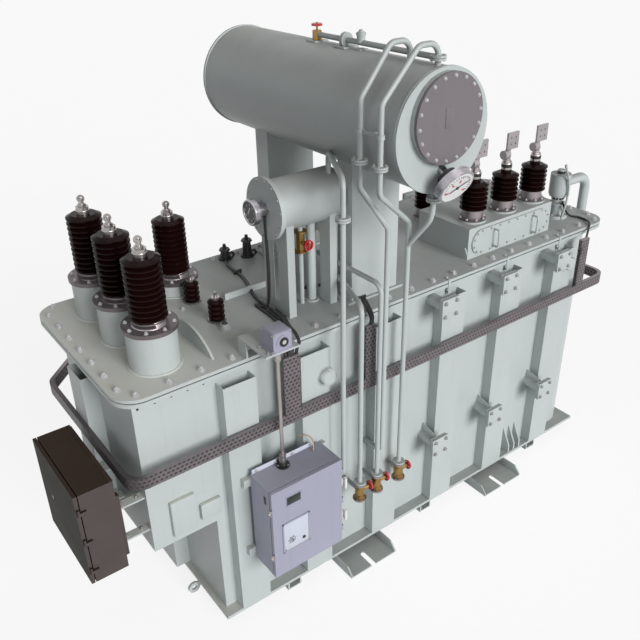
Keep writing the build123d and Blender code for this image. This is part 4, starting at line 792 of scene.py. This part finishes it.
class TRANSFORMER_OT_radiator_blanks(SceneryOperator):
    """Close the radiator pads with bolted blank plates and brace the lower stubs"""

    bl_idname = "transformer.radiator_blanks"
    bl_label = "Radiator Blanks"

    def execute(self, context):
        bolt_offset = 0.053
        plates, bolts = bmesh.new(), bmesh.new()
        for x, level, way in stub_places():
            face = low("front_radiator_stubs").y if way < 0 else high("rear_radiator_stubs").y
            add_block(plates, (x, face + way * 0.009, level), (0.158, 0.014, 0.158), 0.003)
            add_block(plates, (x, face - way * 0.0195, level), (0.154, 0.002, 0.154))
            if level < cover_top / 2:
                self.brace(plates, x, high("tank_shell").y * way, face - way * 0.020, level + 0.044)
            for dx, dz in product((-bolt_offset, bolt_offset), repeat=2):
                place = (x + dx, face + way * 0.016, level + dz)
                add_bolt(bolts, place, (0, way, 0), 0.024, True, dx + dz)
        finished("radiator_blanks", plates, "tank_paint")
        finished("radiator_bolts", bolts, "dull_bolt")
        return {"FINISHED"}

    def brace(self, bm, x, wall, outer, top):
        """A tapered rib from the wall out to the pad, on top of the stub."""
        outline = [(wall, top), (wall, top + 0.060), (outer, top + 0.016), (outer, top)]
        add_plate(bm, [(x - 0.005, y, z) for y, z in outline], (0.010, 0, 0))


class TRANSFORMER_OT_gauges(SceneryOperator):
    """Print the dials of the two oil gauges"""

    bl_idname = "transformer.gauges"
    bl_label = "Gauges"

    def execute(self, context):
        tilt = radians(30.0)
        plate = low("conservator_ends").y + 0.030
        centre = Vector((conservator_x, plate - 0.133, middle("conservator_shell").z - 0.290))
        self.dial("oil_gauge", centre, Vector((0, -cos(tilt), -sin(tilt))), 0.118)
        gauge = middle("oltc_gauge")
        self.small_dial(Vector((low("oltc_gauge").x, gauge.y, gauge.z)))
        return {"FINISHED"}

    def dial(self, name, centre, normal, radius):
        """A white dial with black ticks, red limits, a black hand and a bright bezel."""
        single(name + "_dial", "dial_white", add_disc, centre, normal, radius * 0.90, 0.003, 48)
        bm = bmesh.new()
        add_ring(bm, centre - normal * 0.004, normal, radius * 0.945, radius * 0.055, 48)
        add_washer(bm, centre - normal * 0.050, normal, radius * 0.9, radius * 1.02, 0.012)
        finished(name + "_bezel", bm, "gauge_metal")
        backs = (-0.064, radius * 0.80, 0.016, 40), (-0.100, radius * 0.52, 0.040, 32)
        single(name + "_back", "dial_black", add_discs, centre, normal, *backs)
        matrix = stand(centre, normal)
        black, red = bmesh.new(), bmesh.new()
        ticks, outer = 21, 0.78
        for i in range(ticks):
            inner, width = (0.64, 0.005) if i % 5 == 0 else (0.70, 0.003)
            size = (radius * (outer - inner), width)
            self.bar(black, matrix, -20 + 11 * i, radius * (outer + inner) / 2, 0.004, size)
        for turn, share in ((-26, 0.60), (206, 0.60), (150, 0.45), (96, 0.45)):
            self.bar(red, matrix, turn, radius * share, 0.0045, (0.020, 0.012))
        self.bar(black, matrix, 35, 0.010, 0.0065, (radius * 1.10, 0.006))
        add_disc(black, centre + normal * 0.003, normal, 0.010, 0.006, 20)
        finished(name + "_marks", black, "dial_black")
        finished(name + "_limits", red, "dial_red")

    def bar(self, bm, matrix, turn, reach, lift, size):
        """A thin printed bar that points away from the dial's middle."""
        place = Matrix.Rotation(radians(turn), 4, "Z") @ Matrix.Translation((reach, 0, lift))
        bmesh.ops.create_cube(bm, size=1.0, matrix=matrix @ place @ Matrix.Diagonal((*size, 0.0015, 1.0)))

    def small_dial(self, centre):
        """The tap changer's gauge: a deep bright bezel with a dark dial and a light hand."""
        normal = Vector(leftward)
        bm = bmesh.new()
        add_ring(bm, centre, normal, 0.074, 0.009, 40)
        add_washer(bm, centre - normal * 0.052, normal, 0.046, 0.056, 0.010)
        add_bolt_ring(bm, 6, centre - normal * 0.098, normal, 0.054, 0.010)
        finished("tap_gauge_bezel", bm, "gauge_metal")
        single("tap_gauge_dial", "dark_glass", add_disc, centre, normal, 0.068, 0.002, 40)
        bm = bmesh.new()
        face = centre + normal * 0.0025
        for point in ring_of(9, face, normal, 0.050, 0.2):
            add_disc(bm, point, normal, 0.004, 0.0015, 8)
        hand = face + normal * 0.001 + Vector((0, 0.008, 0.010))
        add_block(bm, hand, (0.0015, 0.006, 0.055), turn=Matrix.Rotation(0.5, 4, "X"))
        finished("tap_gauge_marks", bm, "dial_white")


class TRANSFORMER_OT_wiring(SceneryOperator):
    """Run the control cables over the cover and into the tray"""

    bl_idname = "transformer.wiring"
    bl_label = "Wiring"

    def execute(self, context):
        radius = self.sizes.cable / 2
        rest = cover_top + radius
        gauge = middle("oltc_gauge")
        mouth = tray_top + 0.040
        relief_y = tray_front + 0.002
        along_base = [
            (-1.118, -0.190, rest), (-1.122, -0.300, rest), (-1.125, -0.410, rest),
            (-1.140, -0.520, rest), (-1.205, -0.640, rest + 0.004), (-1.262, -0.735, rest + 0.020),
            (-1.290, -0.800, rest - 0.010), (left_drop + 0.015, drop_y, mouth + 0.010),
            (left_drop + 0.015, drop_y, mouth - 0.120),
        ]
        looped = [
            (-1.100, -0.330, rest), (-1.118, -0.470, rest + 0.010), (-1.185, -0.610, rest + 0.030),
            (-1.225, -0.735, rest + 0.060), (-1.240, -0.810, rest + 0.020),
            (left_drop + 0.048, drop_y, mouth + 0.050), (left_drop + 0.040, drop_y, mouth - 0.100),
        ]
        from_gauge = [
            (gauge.x + 0.045, gauge.y - 0.010, gauge.z - 0.045),
            (gauge.x + 0.048, gauge.y - 0.010, gauge.z - 0.160),
            (gauge.x + 0.052, gauge.y - 0.012, gauge.z - 0.420),
            (gauge.x + 0.050, gauge.y - 0.004, rest + 0.090),
            (-1.160, gauge.y + 0.040, rest + 0.010), (-1.142, gauge.y - 0.040, rest),
            (-1.139, gauge.y - 0.150, rest),
        ]
        into_right = [
            (-0.760, -0.180, rest), (-0.600, -0.260, rest), (-0.505, -0.330, rest),
            (-0.500, -0.420, rest), (-0.530, -0.520, rest), (-0.565, -0.610, rest),
            (-0.620, -0.700, rest + 0.018), (right_drop + 0.030, -0.790, rest - 0.004),
            (right_drop + 0.006, drop_y, mouth + 0.010), (right_drop + 0.006, drop_y, mouth - 0.120),
        ]
        from_back = [
            (-0.930, 0.590, rest), (-0.985, 0.520, rest), (-0.998, 0.400, rest), (-1.000, 0.250, rest),
            (-1.050, 0.080, rest), (-1.112, -0.090, rest), (-1.118, -0.190, rest),
        ]
        beside = shifted(along_base, -0.024, 0.004)
        above = shifted(along_base, -0.012, 0.002, 0.016)
        outside = shifted(along_base, -0.046, 0.008)
        second = shifted(into_right, 0.022, 0.010)
        runs = [along_base, beside, above, outside, looped, from_gauge, into_right, second, from_back]
        run_cable("control_cables", runs, radius, "cable_rubber")
        relief = [
            (1.700, -0.470, 2.230), (1.745, -0.485, 2.130), (1.800, -0.500, rest), (1.840, -0.560, rest),
            (1.830, -0.640, rest), (1.785, -0.705, rest + 0.010), (1.720, -0.742, rest - 0.030),
            (1.640, -0.790, 2.035), (1.560, relief_y + 0.002, 2.010), (1.522, relief_y, 1.930),
            (1.520, relief_y, 1.800), (1.524, relief_y, 1.640),
        ]
        run_cable("relief_cable", [relief], radius * 0.8, "cable_rubber")
        earth = [
            (-1.215, -0.880, 1.294), (-1.205, -0.872, 1.330), (-1.190, -0.840, 1.372),
            (-1.225, -0.800, 1.400), (-1.262, -0.786, 1.385),
        ]
        run_cable("earth_wire", [earth], 0.004, "copper_wire")
        self.clips(rest)
        return {"FINISHED"}

    def clips(self, rest):
        """Clips that hold the cables on the cover."""
        bm = bmesh.new()
        for x, y in ((-1.136, -0.250), (-1.140, -0.460), (-0.995, 0.330), (-0.490, -0.380), (-0.545, -0.560)):
            add_block(bm, (x, y, rest + 0.004), (0.070, 0.012, 0.034), 0.005)
            add_bolt(bm, (x - 0.026, y, rest + 0.018), up, 0.009, False)
        finished("cable_clips", bm, "cable_rubber")


class TRANSFORMER_OT_rear_terminals(SceneryOperator):
    """Stand the small black terminals and the filling plug on the cover"""

    bl_idname = "transformer.rear_terminals"
    bl_label = "Rear Terminals"

    def execute(self, context):
        bm = bmesh.new()
        for x, y, height in ((-0.933, 0.615, 0.110), (-0.772, 0.552, 0.165)):
            base = Vector((x, y, cover_top))
            add_discs(
                bm, base, up, (0, 0.052, 0.016, 24), (0.016, 0.038, height - 0.050, 24, 0.030),
                (height - 0.036, 0.044, 0.014, 24, 0.036), (height - 0.022, 0.016, 0.034, 12, 0.012),
            )
            add_ring(bm, base + Vector((0.030, -0.045, 0.040)), ahead, 0.020, 0.010, 20)
        finished("sensor_terminals", bm, "cable_rubber")
        plug = Vector((-1.489, -0.324, cover_top))
        bm = bmesh.new()
        add_discs(bm, plug, up, (0, 0.038, 0.008, 28), (0.008, 0.028, 0.034, 24, 0.026))
        for x, y in ((-1.577, 0.080), (-1.395, -0.090)):
            add_bolt(bm, (x, y, cover_top), up, 0.026)
        finished("filling_plug", bm, "zinc_nut")
        single("filling_cap", "dial_black", add_discs, plug, up, (0.042, 0.022, 0.010, 24, 0.012))
        return {"FINISHED"}


class TRANSFORMER_OT_drive_trim(SceneryOperator):
    """Fit the drive cabinet's window, recessed control panel, latches, gland and couplings"""

    bl_idname = "transformer.drive_trim"
    bl_label = "Drive Trim"

    def execute(self, context):
        start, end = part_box("drive_cabinet_door")
        self.door(start.y, start.x, "drive_door")
        face, left, right = start.y, start.x, end.x
        bm = bmesh.new()
        pin = Vector((right + 0.023, face + 0.015, 0.0))
        for level in (1.067, 0.783):
            add_discs(bm, pin, up, (level - 0.042, 0.0115, 0.084, 20), (level - 0.003, 0.0125, 0.006, 20))
            add_block(bm, (right + 0.009, face + 0.040, level), (0.022, 0.022, 0.060), 0.003)
            add_block(bm, (right + 0.018, face + 0.028, level), (0.008, 0.024, 0.060), 0.002)
        finished("drive_hinges", bm, "dial_white")
        # Painted shade: a black plate stands for the dark inside of a slot on the cabinet's left side.
        slot = (left - 0.001, face + 0.078, 1.198)
        single("drive_slot_painted_shade", "dial_black", add_block, slot, (0.003, 0.024, 0.060), 0.001)
        self.shaft(*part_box("drive_shaft"))
        self.rails(*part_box("drive_cabinet"))
        return {"FINISHED"}

    def door(self, face, left, body):
        """What the door carries: its window, panel, dial and latches."""
        panel, window = (-1.493, 0.885), (-1.504, 1.180)
        key_x, key_z = -1.528, 0.845
        place = (window[0], face - 0.0015, window[1])
        single("drive_window", "dark_glass", add_block, place, (0.108, 0.005, 0.066), 0.002, body=body)
        bm = bmesh.new()
        self.frame(bm, (panel[0], face, panel[1]), (0.214, 0.252), 0.012, 0.006)
        self.frame(bm, (window[0], face, window[1]), (0.114, 0.072), 0.005, 0.004)
        finished("drive_frames", bm, "lilac_paint", body)
        place = (panel[0], face - 0.001, panel[1])
        single("drive_panel", "white_plate", add_block, place, (0.196, 0.003, 0.234), 0.001, body=body)
        bm = bmesh.new()
        key = (key_x, face - 0.0025, key_z)
        add_washer(bm, key, ahead, 0.020, 0.023, 0.002, 32)
        add_washer(bm, key, ahead, 0.007, 0.010, 0.004, 24)
        for point in ring_of(7, key, ahead, 0.030, 0.35)[:5]:
            add_disc(bm, point, ahead, 0.003, 0.0015, 8)
        add_disc(bm, (-1.436, face - 0.0025, 0.815), ahead, 0.012, 0.004, 24)
        add_block(bm, (-1.580, face - 0.003, 0.782), (0.008, 0.004, 0.008), 0.001)
        finished("drive_dial", bm, "dial_black", body)
        # Painted shadow: a black strip along the right edge of the panel's recess.
        place = (panel[0] + 0.100, face - 0.0015, panel[1])
        single("drive_panel_shade", "dial_black", add_block, place, (0.006, 0.003, 0.246), body=body)
        bm = bmesh.new()
        for level in (1.140, 0.755):
            add_block(bm, (left - 0.006, face + 0.012, level), (0.016, 0.020, 0.046), 0.004)
            add_disc(bm, (left - 0.014, face + 0.012, level), leftward, 0.008, 0.006, 16)
        finished("drive_latches", bm, "stainless", body)

    def frame(self, bm, centre, size, width, height):
        """A raised rim round an opening in the door."""
        x, y, z = centre
        for side in (-1, 1):
            upright = (x + side * (size[0] - width) / 2, y - height / 2, z)
            add_block(bm, upright, (width, height, size[1]), 0.0015)
            rail = (x, y - height / 2, z + side * (size[1] - width) / 2)
            add_block(bm, rail, (size[0], height, width), 0.0015)

    def shaft(self, start, end):
        """The gland on the cabinet and the couplings at both ends of the shaft."""
        x, y = (start.x + end.x) / 2, (start.y + end.y) / 2
        foot = (x, y, start.z)
        rows = (0, 0.044, 0.014, 28), (0.014, 0.030, 0.022, 24, 0.024)
        single("shaft_gland", "dial_black", add_discs, foot, up, *rows)
        bm = bmesh.new()
        way = Vector((-0.5, -0.86, 0))
        for level, height in ((start.z + 0.036, 0.072), (end.z - 0.092, 0.076)):
            add_disc(bm, (x, y, level), up, 0.0225, height, 24)
            for share in (0.25, 0.75):
                add_disc(bm, Vector((x, y, level + height * share)) + way * 0.020, way, 0.006, 0.010, 6)
        add_bolt_ring(bm, 3, (x, y, start.z + 0.014), up, 0.037, 0.010)
        finished("shaft_couplings", bm, "stainless")

    def rails(self, start, end):
        """Slotted lugs along the cabinet's back edge, and the bolts that hold them."""
        back, level = end.y, end.z + 0.018
        left, right = start.x, end.x - 0.020
        bm = bmesh.new()
        for x in (left + 0.120, right - 0.170):
            add_block(bm, (x, back - 0.004, level), (0.220, 0.006, 0.034), 0.003)
        finished("drive_lugs", bm, "white_plate")
        bm = bmesh.new()
        for x in (left + 0.040, left + 0.190, right - 0.230, right - 0.080):
            add_bolt(bm, (x, back - 0.007, level), ahead, 0.016)
        finished("drive_lug_bolts", bm, "bright_bolt")


class TRANSFORMER_OT_gearbox_trim(SceneryOperator):
    """Fit the bevel gearbox with its output cover, feet and screws"""

    bl_idname = "transformer.gearbox_trim"
    bl_label = "Gearbox Trim"

    def execute(self, context):
        start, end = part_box("bevel_gearbox")
        x, y, z = (start + end) / 2
        front = Vector((x, start.y, z))
        seal = front + Vector((0.006, -0.004, 0))
        single("gearbox_collar", "lilac_paint", add_disc, front, ahead, 0.044, 0.004, 36)
        single("gearbox_seal", "dial_black", add_washer, seal, ahead, 0.014, 0.029, 0.008, 32)
        single("gearbox_pin", "bright_bolt", add_disc, seal, ahead, 0.014, 0.007, 20)
        bm = bmesh.new()
        for across, rise in product((-0.054, 0.054), repeat=2):
            add_bolt(bm, (x + across, start.y, z + rise), ahead, 0.010, False)
            add_bolt(bm, (start.x, y + across, z + rise), leftward, 0.010, False)
        for dx, dy in product((-0.086, 0.086), (-0.040, 0.050)):
            add_bolt(bm, (x + dx, y + dy, start.z), up, 0.018)
        finished("gearbox_screws", bm, "dull_bolt")
        bm = bmesh.new()
        add_block(bm, (x, y, start.z + 0.004), (0.152, 0.134, 0.008), 0.002)
        add_block(bm, (x, y, end.z + 0.002), (0.118, 0.118, 0.004), 0.0018)
        finished("gearbox_feet", bm, "lilac_paint")
        return {"FINISHED"}


class TRANSFORMER_OT_hatch_trim(SceneryOperator):
    """Weld the lifting handles to the low-voltage hatch and fit the blank plate of the big hatch"""

    bl_idname = "transformer.hatch_trim"
    bl_label = "Hatch Trim"

    def execute(self, context):
        face = low("lv_hatch_cover").y
        level = middle("lv_hatch_cover").z
        bend = [(0, -0.068), (-0.034, -0.068), (-0.052, -0.066), (-0.054, 0)]
        bend += [(dy, -dz) for dy, dz in reversed(bend[:3])]
        runs = [[(x, face + dy, level + dz) for dy, dz in bend] for x in (0.745, 1.190)]
        run_cable("hatch_handles", runs, 0.0075, "tank_paint")
        hatch = middle("conservator_hatch")
        plate = (hatch.x - 0.010, low("conservator_hatch").y - 0.001, hatch.z + 0.010)
        single("hatch_plate", "hatch_paint", add_block, plate, (0.060, 0.003, 0.115), 0.001)
        corner = low("lv_turret")
        outline = [(0, 0.030), (-0.030, 0.104), (-0.020, 0.108), (0, 0.058)]
        lug = [(corner.x - 0.004 + dx, corner.y, cover_top + dz) for dx, dz in outline]
        single("turret_gusset", "tank_paint", add_plate, lug, (0, 0.008, 0))
        return {"FINISHED"}


class TRANSFORMER_OT_welds(SceneryOperator):
    """Lay the weld beads round the turrets, stubs and shells"""

    bl_idname = "transformer.welds"
    bl_label = "Welds"

    def execute(self, context):
        bead = self.sizes.bead
        bm = bmesh.new()
        for x, y, height in tall_places():
            add_ring(bm, (x, y, cover_top), up, 0.156, 1.6 * bead, 48)
            add_ring(bm, (x, y, height - 0.026), up, 0.153, bead, 48)
        shell = middle("conservator_shell")
        for y, way in ((low("conservator_shell").y, -1), (high("conservator_shell").y, 1)):
            add_ring(bm, (shell.x, y, shell.z), (0, way, 0), 0.352, bead, 64)
        for x, level, way in stub_places():
            add_ring(bm, (x, high("tank_shell").y * way, level), (0, way, 0), 0.047, bead, 28)
        foot = middle("relief_device")
        add_ring(bm, (foot.x, foot.y, cover_top + 0.026), up, 0.052, bead, 32)
        finished("round_welds", bm, "tank_paint")
        return {"FINISHED"}


class TRANSFORMER_OT_tank_trim(SceneryOperator):
    """Fit the blank caps, raised pads, bonding straps and hauling eyes"""

    bl_idname = "transformer.tank_trim"
    bl_label = "Tank Trim"

    def execute(self, context):
        wall = low("tank_shell").y
        faces = ((-1, low("front_stiffeners").y), (1, high("rear_stiffeners").y))
        bm = bmesh.new()
        for (way, side), (x, z) in product(faces, ((-1.030, 1.775), (1.412, 1.871))):
            out = (0, way, 0)
            add_discs(bm, (x, side, z), out, (0, 0.054, 0.052, 40), (0.052, 0.054, 0.005, 40, 0.048))
            add_ring(bm, (x, side, z), out, 0.055, 0.005, 40)
        finished("blank_caps", bm, "tank_paint")
        bm = bmesh.new()
        for x in (-2.277, -2.172, -2.068, -1.964, -1.860):
            add_disc(bm, (x, wall, 2.004), ahead, 0.0075, 0.006, 6)
        finished("rim_screws", bm, "dial_black")
        bm = bmesh.new()
        for x, z, width, height in ((-2.095, 1.122, 0.170, 0.275), (-1.908, 1.074, 0.146, 0.122)):
            add_block(bm, (x, wall - 0.016, z), (width, 0.032, height), 0.006, segments=3)
        finished("earth_pads", bm, "tank_paint")
        bm = bmesh.new()
        for x, way in product((0.142, 0.766, 1.390), (-1, 1)):
            self.strap(bm, x, way * -low("top_cover").y, way)
        finished("bonding_straps", bm, "tank_paint")
        bm = bmesh.new()
        start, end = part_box("base_plate")
        for (way, base), y in product(((-1, start.x), (1, end.x)), (-0.346, 0.346)):
            eye = (base + way * 0.040, y - 0.010, start.z - 0.030)
            add_washer(bm, eye, (0, 1, 0), 0.020, 0.045, 0.020, 32)
            add_block(bm, (base - way * 0.050, y, start.z - 0.018), (0.130, 0.020, 0.036), 0.003)
        finished("hauling_eyes", bm, "tank_paint")
        return {"FINISHED"}

    def strap(self, bm, x, y, way):
        """A strap folded over the cover's edge, with its bolt."""
        add_block(bm, (x, y + way * 0.003, 2.022), (0.024, 0.006, 0.112), 0.002)
        add_block(bm, (x, y - way * 0.020, cover_top + 0.003), (0.024, 0.052, 0.006), 0.002)
        add_bolt(bm, (x, y - way * 0.030, cover_top + 0.006), up, 0.016)
        add_block(bm, (x, y - way * 0.010, 1.972), (0.024, 0.030, 0.006), 0.002)


class TRANSFORMER_OT_pipe_trim(SceneryOperator):
    """Fit the clips, joint flanges, vent fittings, conservator drain and valve bodies of the pipes"""

    bl_idname = "transformer.pipe_trim"
    bl_label = "Pipe Trim"

    def execute(self, context):
        vent_x, vent_ys, clip_level = -0.828, (-0.865, -1.040), 3.350
        header_level = 3.715
        drain_y = -1.071
        bm = bmesh.new()
        for y in vent_ys:
            add_washer(bm, (vent_x, y, clip_level - 0.012), up, 0.017, 0.024, 0.024, 24)
        add_block(bm, (vent_x, -0.953, clip_level), (0.008, 0.160, 0.022), 0.002)
        add_block(bm, (vent_x + 0.045, -0.953, clip_level), (0.090, 0.022, 0.008), 0.002)
        finished("pipe_clips", bm, "tank_paint")
        bolts, plates = bmesh.new(), bmesh.new()
        joints = [
            *((vent_x, y, 3.178) for y in vent_ys), (-0.965, -0.885, 2.868),
            (conservator_x, -1.040, header_level), (conservator_x, drain_y, 2.918),
        ]
        for (x, y, z), way in product(joints, (-1, 1)):
            add_bolt_ring(bolts, 4, (x, y, z + way * 0.013), (0, 0, way), 0.034, 0.012, 0.6)
            add_washer(plates, (x, y, z + way * 0.0015), (0, 0, way), 0.014, 0.046, 0.0115, 36)
        finished("joint_bolts", bolts, "dull_bolt")
        top = high("conservator_shell").z
        for y, width in ((0.058, 0.110), (-0.240, 0.120), (-0.385, 0.070)):
            add_block(plates, (conservator_x, y, top + 0.001), (width, 0.9 * width, 0.010), 0.002)
        for way in (-1, 1):
            joint = (conservator_x, -0.239 + way * 0.0015, header_level)
            add_washer(plates, joint, (0, way, 0), 0.014, 0.046, 0.0115, 36)
        plug = (conservator_x, -0.384, 3.758)
        add_discs(plates, plug, up, (0, 0.031, 0.012, 28), (0.012, 0.022, 0.020, 24, 0.010))
        finished("joint_flanges", plates, "tank_paint")
        run = [
            (conservator_x, drain_y, 3.000), (conservator_x, drain_y, 2.900), (-0.430, -1.066, 2.820),
            (-0.432, -1.050, 2.770), (-0.436, -1.010, 2.720), (-0.442, -0.905, 2.590),
            (-0.444, -0.885, 2.560),
        ]
        run_cable("conservator_drain", [run], 0.0165, "tank_paint", 5)
        self.valves()
        return {"FINISHED"}

    def valves(self):
        """The flanges and brass bodies of the three valves in front."""
        y, before_wheel, thickness = -0.885, 0.085, 0.013
        flanges, bodies = bmesh.new(), bmesh.new()
        for side in ("left", "middle", "right"):
            x = low("handwheel_" + side).x - before_wheel
            for z in (0.806, 0.671):
                add_washer(flanges, (x, y, z), up, 0.012, 0.050, thickness, 36)
                add_bolt_ring(flanges, 4, (x, y, z + thickness), up, 0.035, 0.012, 0.4)
            for z, radius in ((0.686, 0.041), (0.774, 0.040)):
                add_disc(bodies, (x, y, z), up, radius, 0.030, 6, radius, 0.3)
            add_disc(bodies, (x, y, 0.714), up, 0.035, 0.062, 24)
        finished("valve_flanges", flanges, "clamp_metal")
        finished("valve_bodies", bodies, "brass")


class TRANSFORMER_OT_cabinet_trim(SceneryOperator):
    """Fit the terminal cabinet's lock, gland plate, rails, glands and fixings"""

    bl_idname = "transformer.cabinet_trim"
    bl_label = "Cabinet Trim"

    def execute(self, context):
        start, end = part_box("terminal_cabinet")
        x, y, z = (start + end) / 2
        lock = (low("terminal_cabinet_door").x + 0.004, -0.213, 1.267)
        rows = (0, 0.013, 0.0045, 24), (0, 0.006, 0.0049, 6)
        single("terminal_lock", "brass", add_discs, lock, leftward, *rows, body="terminal_door")
        bm = bmesh.new()
        add_block(bm, (x + 0.010, y - 0.005, start.z - 0.004), (0.150, 0.420, 0.006), 0.002)
        add_block(bm, (end.x - 0.010, y, end.z + 0.0015), (0.026, 0.640, 0.003), 0.001)
        for rail_y in (-0.652, -0.250):
            add_block(bm, (end.x + 0.014, rail_y, z - 0.040), (0.030, 0.040, 0.470), 0.002)
        finished("terminal_flange", bm, "dark_sheet")
        bm = bmesh.new()
        for i in range(5):
            place = (x + 0.010, y - 0.150 + 0.075 * i, start.z - 0.007)
            add_discs(bm, place, (0, 0, -1), (0, 0.020, 0.010, 6), (0.010, 0.015, 0.022, 20, 0.012))
        finished("cable_glands", bm, "cable_rubber")
        bm = bmesh.new()
        for bolt_y, level in product((-0.635, -0.260), (1.102, 1.357)):
            add_bolt(bm, (end.x + 0.040, bolt_y, level), up, 0.020)
            add_bolt(bm, (low("tank_shell").x - 0.040, bolt_y, level), up, 0.020)
        finished("cabinet_bolts", bm, "bright_bolt")
        return {"FINISHED"}


class TRANSFORMER_OT_relief_trim(SceneryOperator):
    """Fit the relief device's cap, windows, collar, bleed pipe and outlet clamp"""

    bl_idname = "transformer.relief_trim"
    bl_label = "Relief Trim"

    def execute(self, context):
        start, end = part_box("relief_device")
        x, y = (start.x + end.x) / 2, (start.y + end.y) / 2
        bm = bmesh.new()
        add_disc(bm, (x, y, end.z - 0.032), up, 0.0345, 0.024, 24, 0.032)
        windows = (x, y, cover_top + 0.168)
        for point in ring_of(12, windows, up, 0.0495):
            add_disc(bm, point, point - Vector(windows), 0.009, 0.004, 12)
        finished("relief_switch", bm, "dial_black")
        rows = (0.116, 0.062, 0.018, 40), (0.134, 0.062, 0.006, 40, 0.054)
        single("relief_collar", "tank_paint", add_discs, (x, y, cover_top), up, *rows)
        bleed_x, bleed_y = 1.716, -0.502
        bleed = [
            (1.640, -0.500, 2.552), (1.655, bleed_y, 2.518), (1.678, bleed_y, 2.470), (1.703, bleed_y, 2.420),
            (1.722, bleed_y, 2.344), (bleed_x, bleed_y, 2.285), (1.711, -0.500, 2.204),
            (1.700, -0.492, 2.130), (1.696, -0.485, cover_top),
        ]
        run_cable("bleed_pipe", [bleed], 0.009, "tank_paint")
        bm = bmesh.new()
        add_disc(bm, (1.643, -0.500, 2.545), (-0.35, 0, 1), 0.013, 0.022, 20, 0.009)
        for level in (2.300, 2.420):
            add_block(bm, (bleed_x, bleed_y + 0.014, level), (0.014, 0.030, 0.016), 0.002)
            add_ring(bm, (bleed_x, bleed_y, level), up, 0.010, 0.004, 20)
        finished("bleed_cock", bm, "tank_paint")
        bm = bmesh.new()
        pipe = high("relief_pipe").x - 0.041
        add_washer(bm, (pipe - 0.003, -0.400, 0.900), up, 0.036, 0.044, 0.030, 28)
        add_block(bm, (pipe - 0.052, -0.400, 0.915), (0.030, 0.030, 0.026), 0.003)
        finished("outlet_clamp", bm, "dull_bolt")
        self.drops()
        return {"FINISHED"}

    def drops(self):
        """The tray's drop below the relief device, and the mouths of the two other drops."""
        bm = bmesh.new()
        add_block(bm, (1.578, drop_y, 1.838), (0.098, 0.030, 0.410), 0.002)
        for x, width, height in ((left_drop, 0.118, 0.044), (right_drop, 0.086, 0.036)):
            add_block(bm, (x, drop_y, tray_top + height / 2 - 0.002), (width, 0.030, height), 0.002)
        finished("front_drop", bm, "tray_sheet")


class TRANSFORMER_OT_bushing_trim(SceneryOperator):
    """Fit the cement collars, necks, stem seals and terminal nuts of the bushings"""

    bl_idname = "transformer.bushing_trim"
    bl_label = "Bushing Trim"

    def execute(self, context):
        tall_stem, short_stem = 0.421, 0.306
        necks, dark, bright = bmesh.new(), bmesh.new(), bmesh.new()
        for x, y, height in tall_places():
            add_disc(dark, (x, y, height + 0.030), up, 0.084, 0.018, 40, 0.081)
            top = height + tall_stem
            add_ring(bright, (x, y, top + 0.022), up, 0.040, 0.004, 32)
            add_disc(bright, (x, y, top + 0.045), up, 0.026, 0.016, 6)
        for place in shifted(short_places(), 0, 0, short_stem):
            add_discs(necks, place, up, (-0.003, 0.0410, 0.026, 32, 0.0395))
            add_discs(dark, place, up, (0.040, 0.0415, 0.024, 32))
            add_discs(
                bright, place, up, (0.022, 0.0395, 0.018, 32), (0.064, 0.0395, 0.014, 32, 0.036),
                (0.082, 0.027, 0.020, 6),
            )
        finished("bushing_necks", necks, "porcelain")
        finished("bushing_collars", dark, "dial_black")
        finished("terminal_nuts", bright, "stainless")
        return {"FINISHED"}


build_steps = (
    TRANSFORMER_OT_camera,
    TRANSFORMER_OT_stage,
    TRANSFORMER_OT_finishes,
    TRANSFORMER_OT_cover_bolts,
    TRANSFORMER_OT_flange_bolts,
    TRANSFORMER_OT_radiator_blanks,
    TRANSFORMER_OT_gauges,
    TRANSFORMER_OT_wiring,
    TRANSFORMER_OT_rear_terminals,
    TRANSFORMER_OT_drive_trim,
    TRANSFORMER_OT_gearbox_trim,
    TRANSFORMER_OT_hatch_trim,
    TRANSFORMER_OT_welds,
    TRANSFORMER_OT_tank_trim,
    TRANSFORMER_OT_pipe_trim,
    TRANSFORMER_OT_cabinet_trim,
    TRANSFORMER_OT_relief_trim,
    TRANSFORMER_OT_bushing_trim,
)


class TRANSFORMER_PT_panel(bpy.types.Panel):
    """Lists the steps and the values of the transformer's dressing"""

    bl_idname = "TRANSFORMER_PT_panel"
    bl_label = "Transformer"
    bl_space_type = "VIEW_3D"
    bl_region_type = "UI"
    bl_category = "Transformer"

    def draw(self, context):
        for step in build_steps:
            self.layout.operator(step.bl_idname)
        for group in (context.scene.transformer_sizes, context.scene.transformer_colours):
            for name in group.__annotations__:
                self.layout.prop(group, name)


classes = (TransformerSizes, TransformerColours, *build_steps, TRANSFORMER_PT_panel)


def register():
    """Registers the classes and the scene's values."""
    for item in classes:
        bpy.utils.register_class(item)
    bpy.types.Scene.transformer_sizes = bpy.props.PointerProperty(type=TransformerSizes)
    bpy.types.Scene.transformer_colours = bpy.props.PointerProperty(type=TransformerColours)


def unregister():
    """Removes them again."""
    del bpy.types.Scene.transformer_sizes
    del bpy.types.Scene.transformer_colours
    for item in reversed(classes):
        bpy.utils.unregister_class(item)


def main():
    """Builds the dressing step by step."""
    register()
    for step in build_steps:
        name = step.bl_idname.split(".")[1]
        getattr(bpy.ops.transformer, name)()
    bpy.context.view_layer.update()


if __name__ == "__main__":
    main()
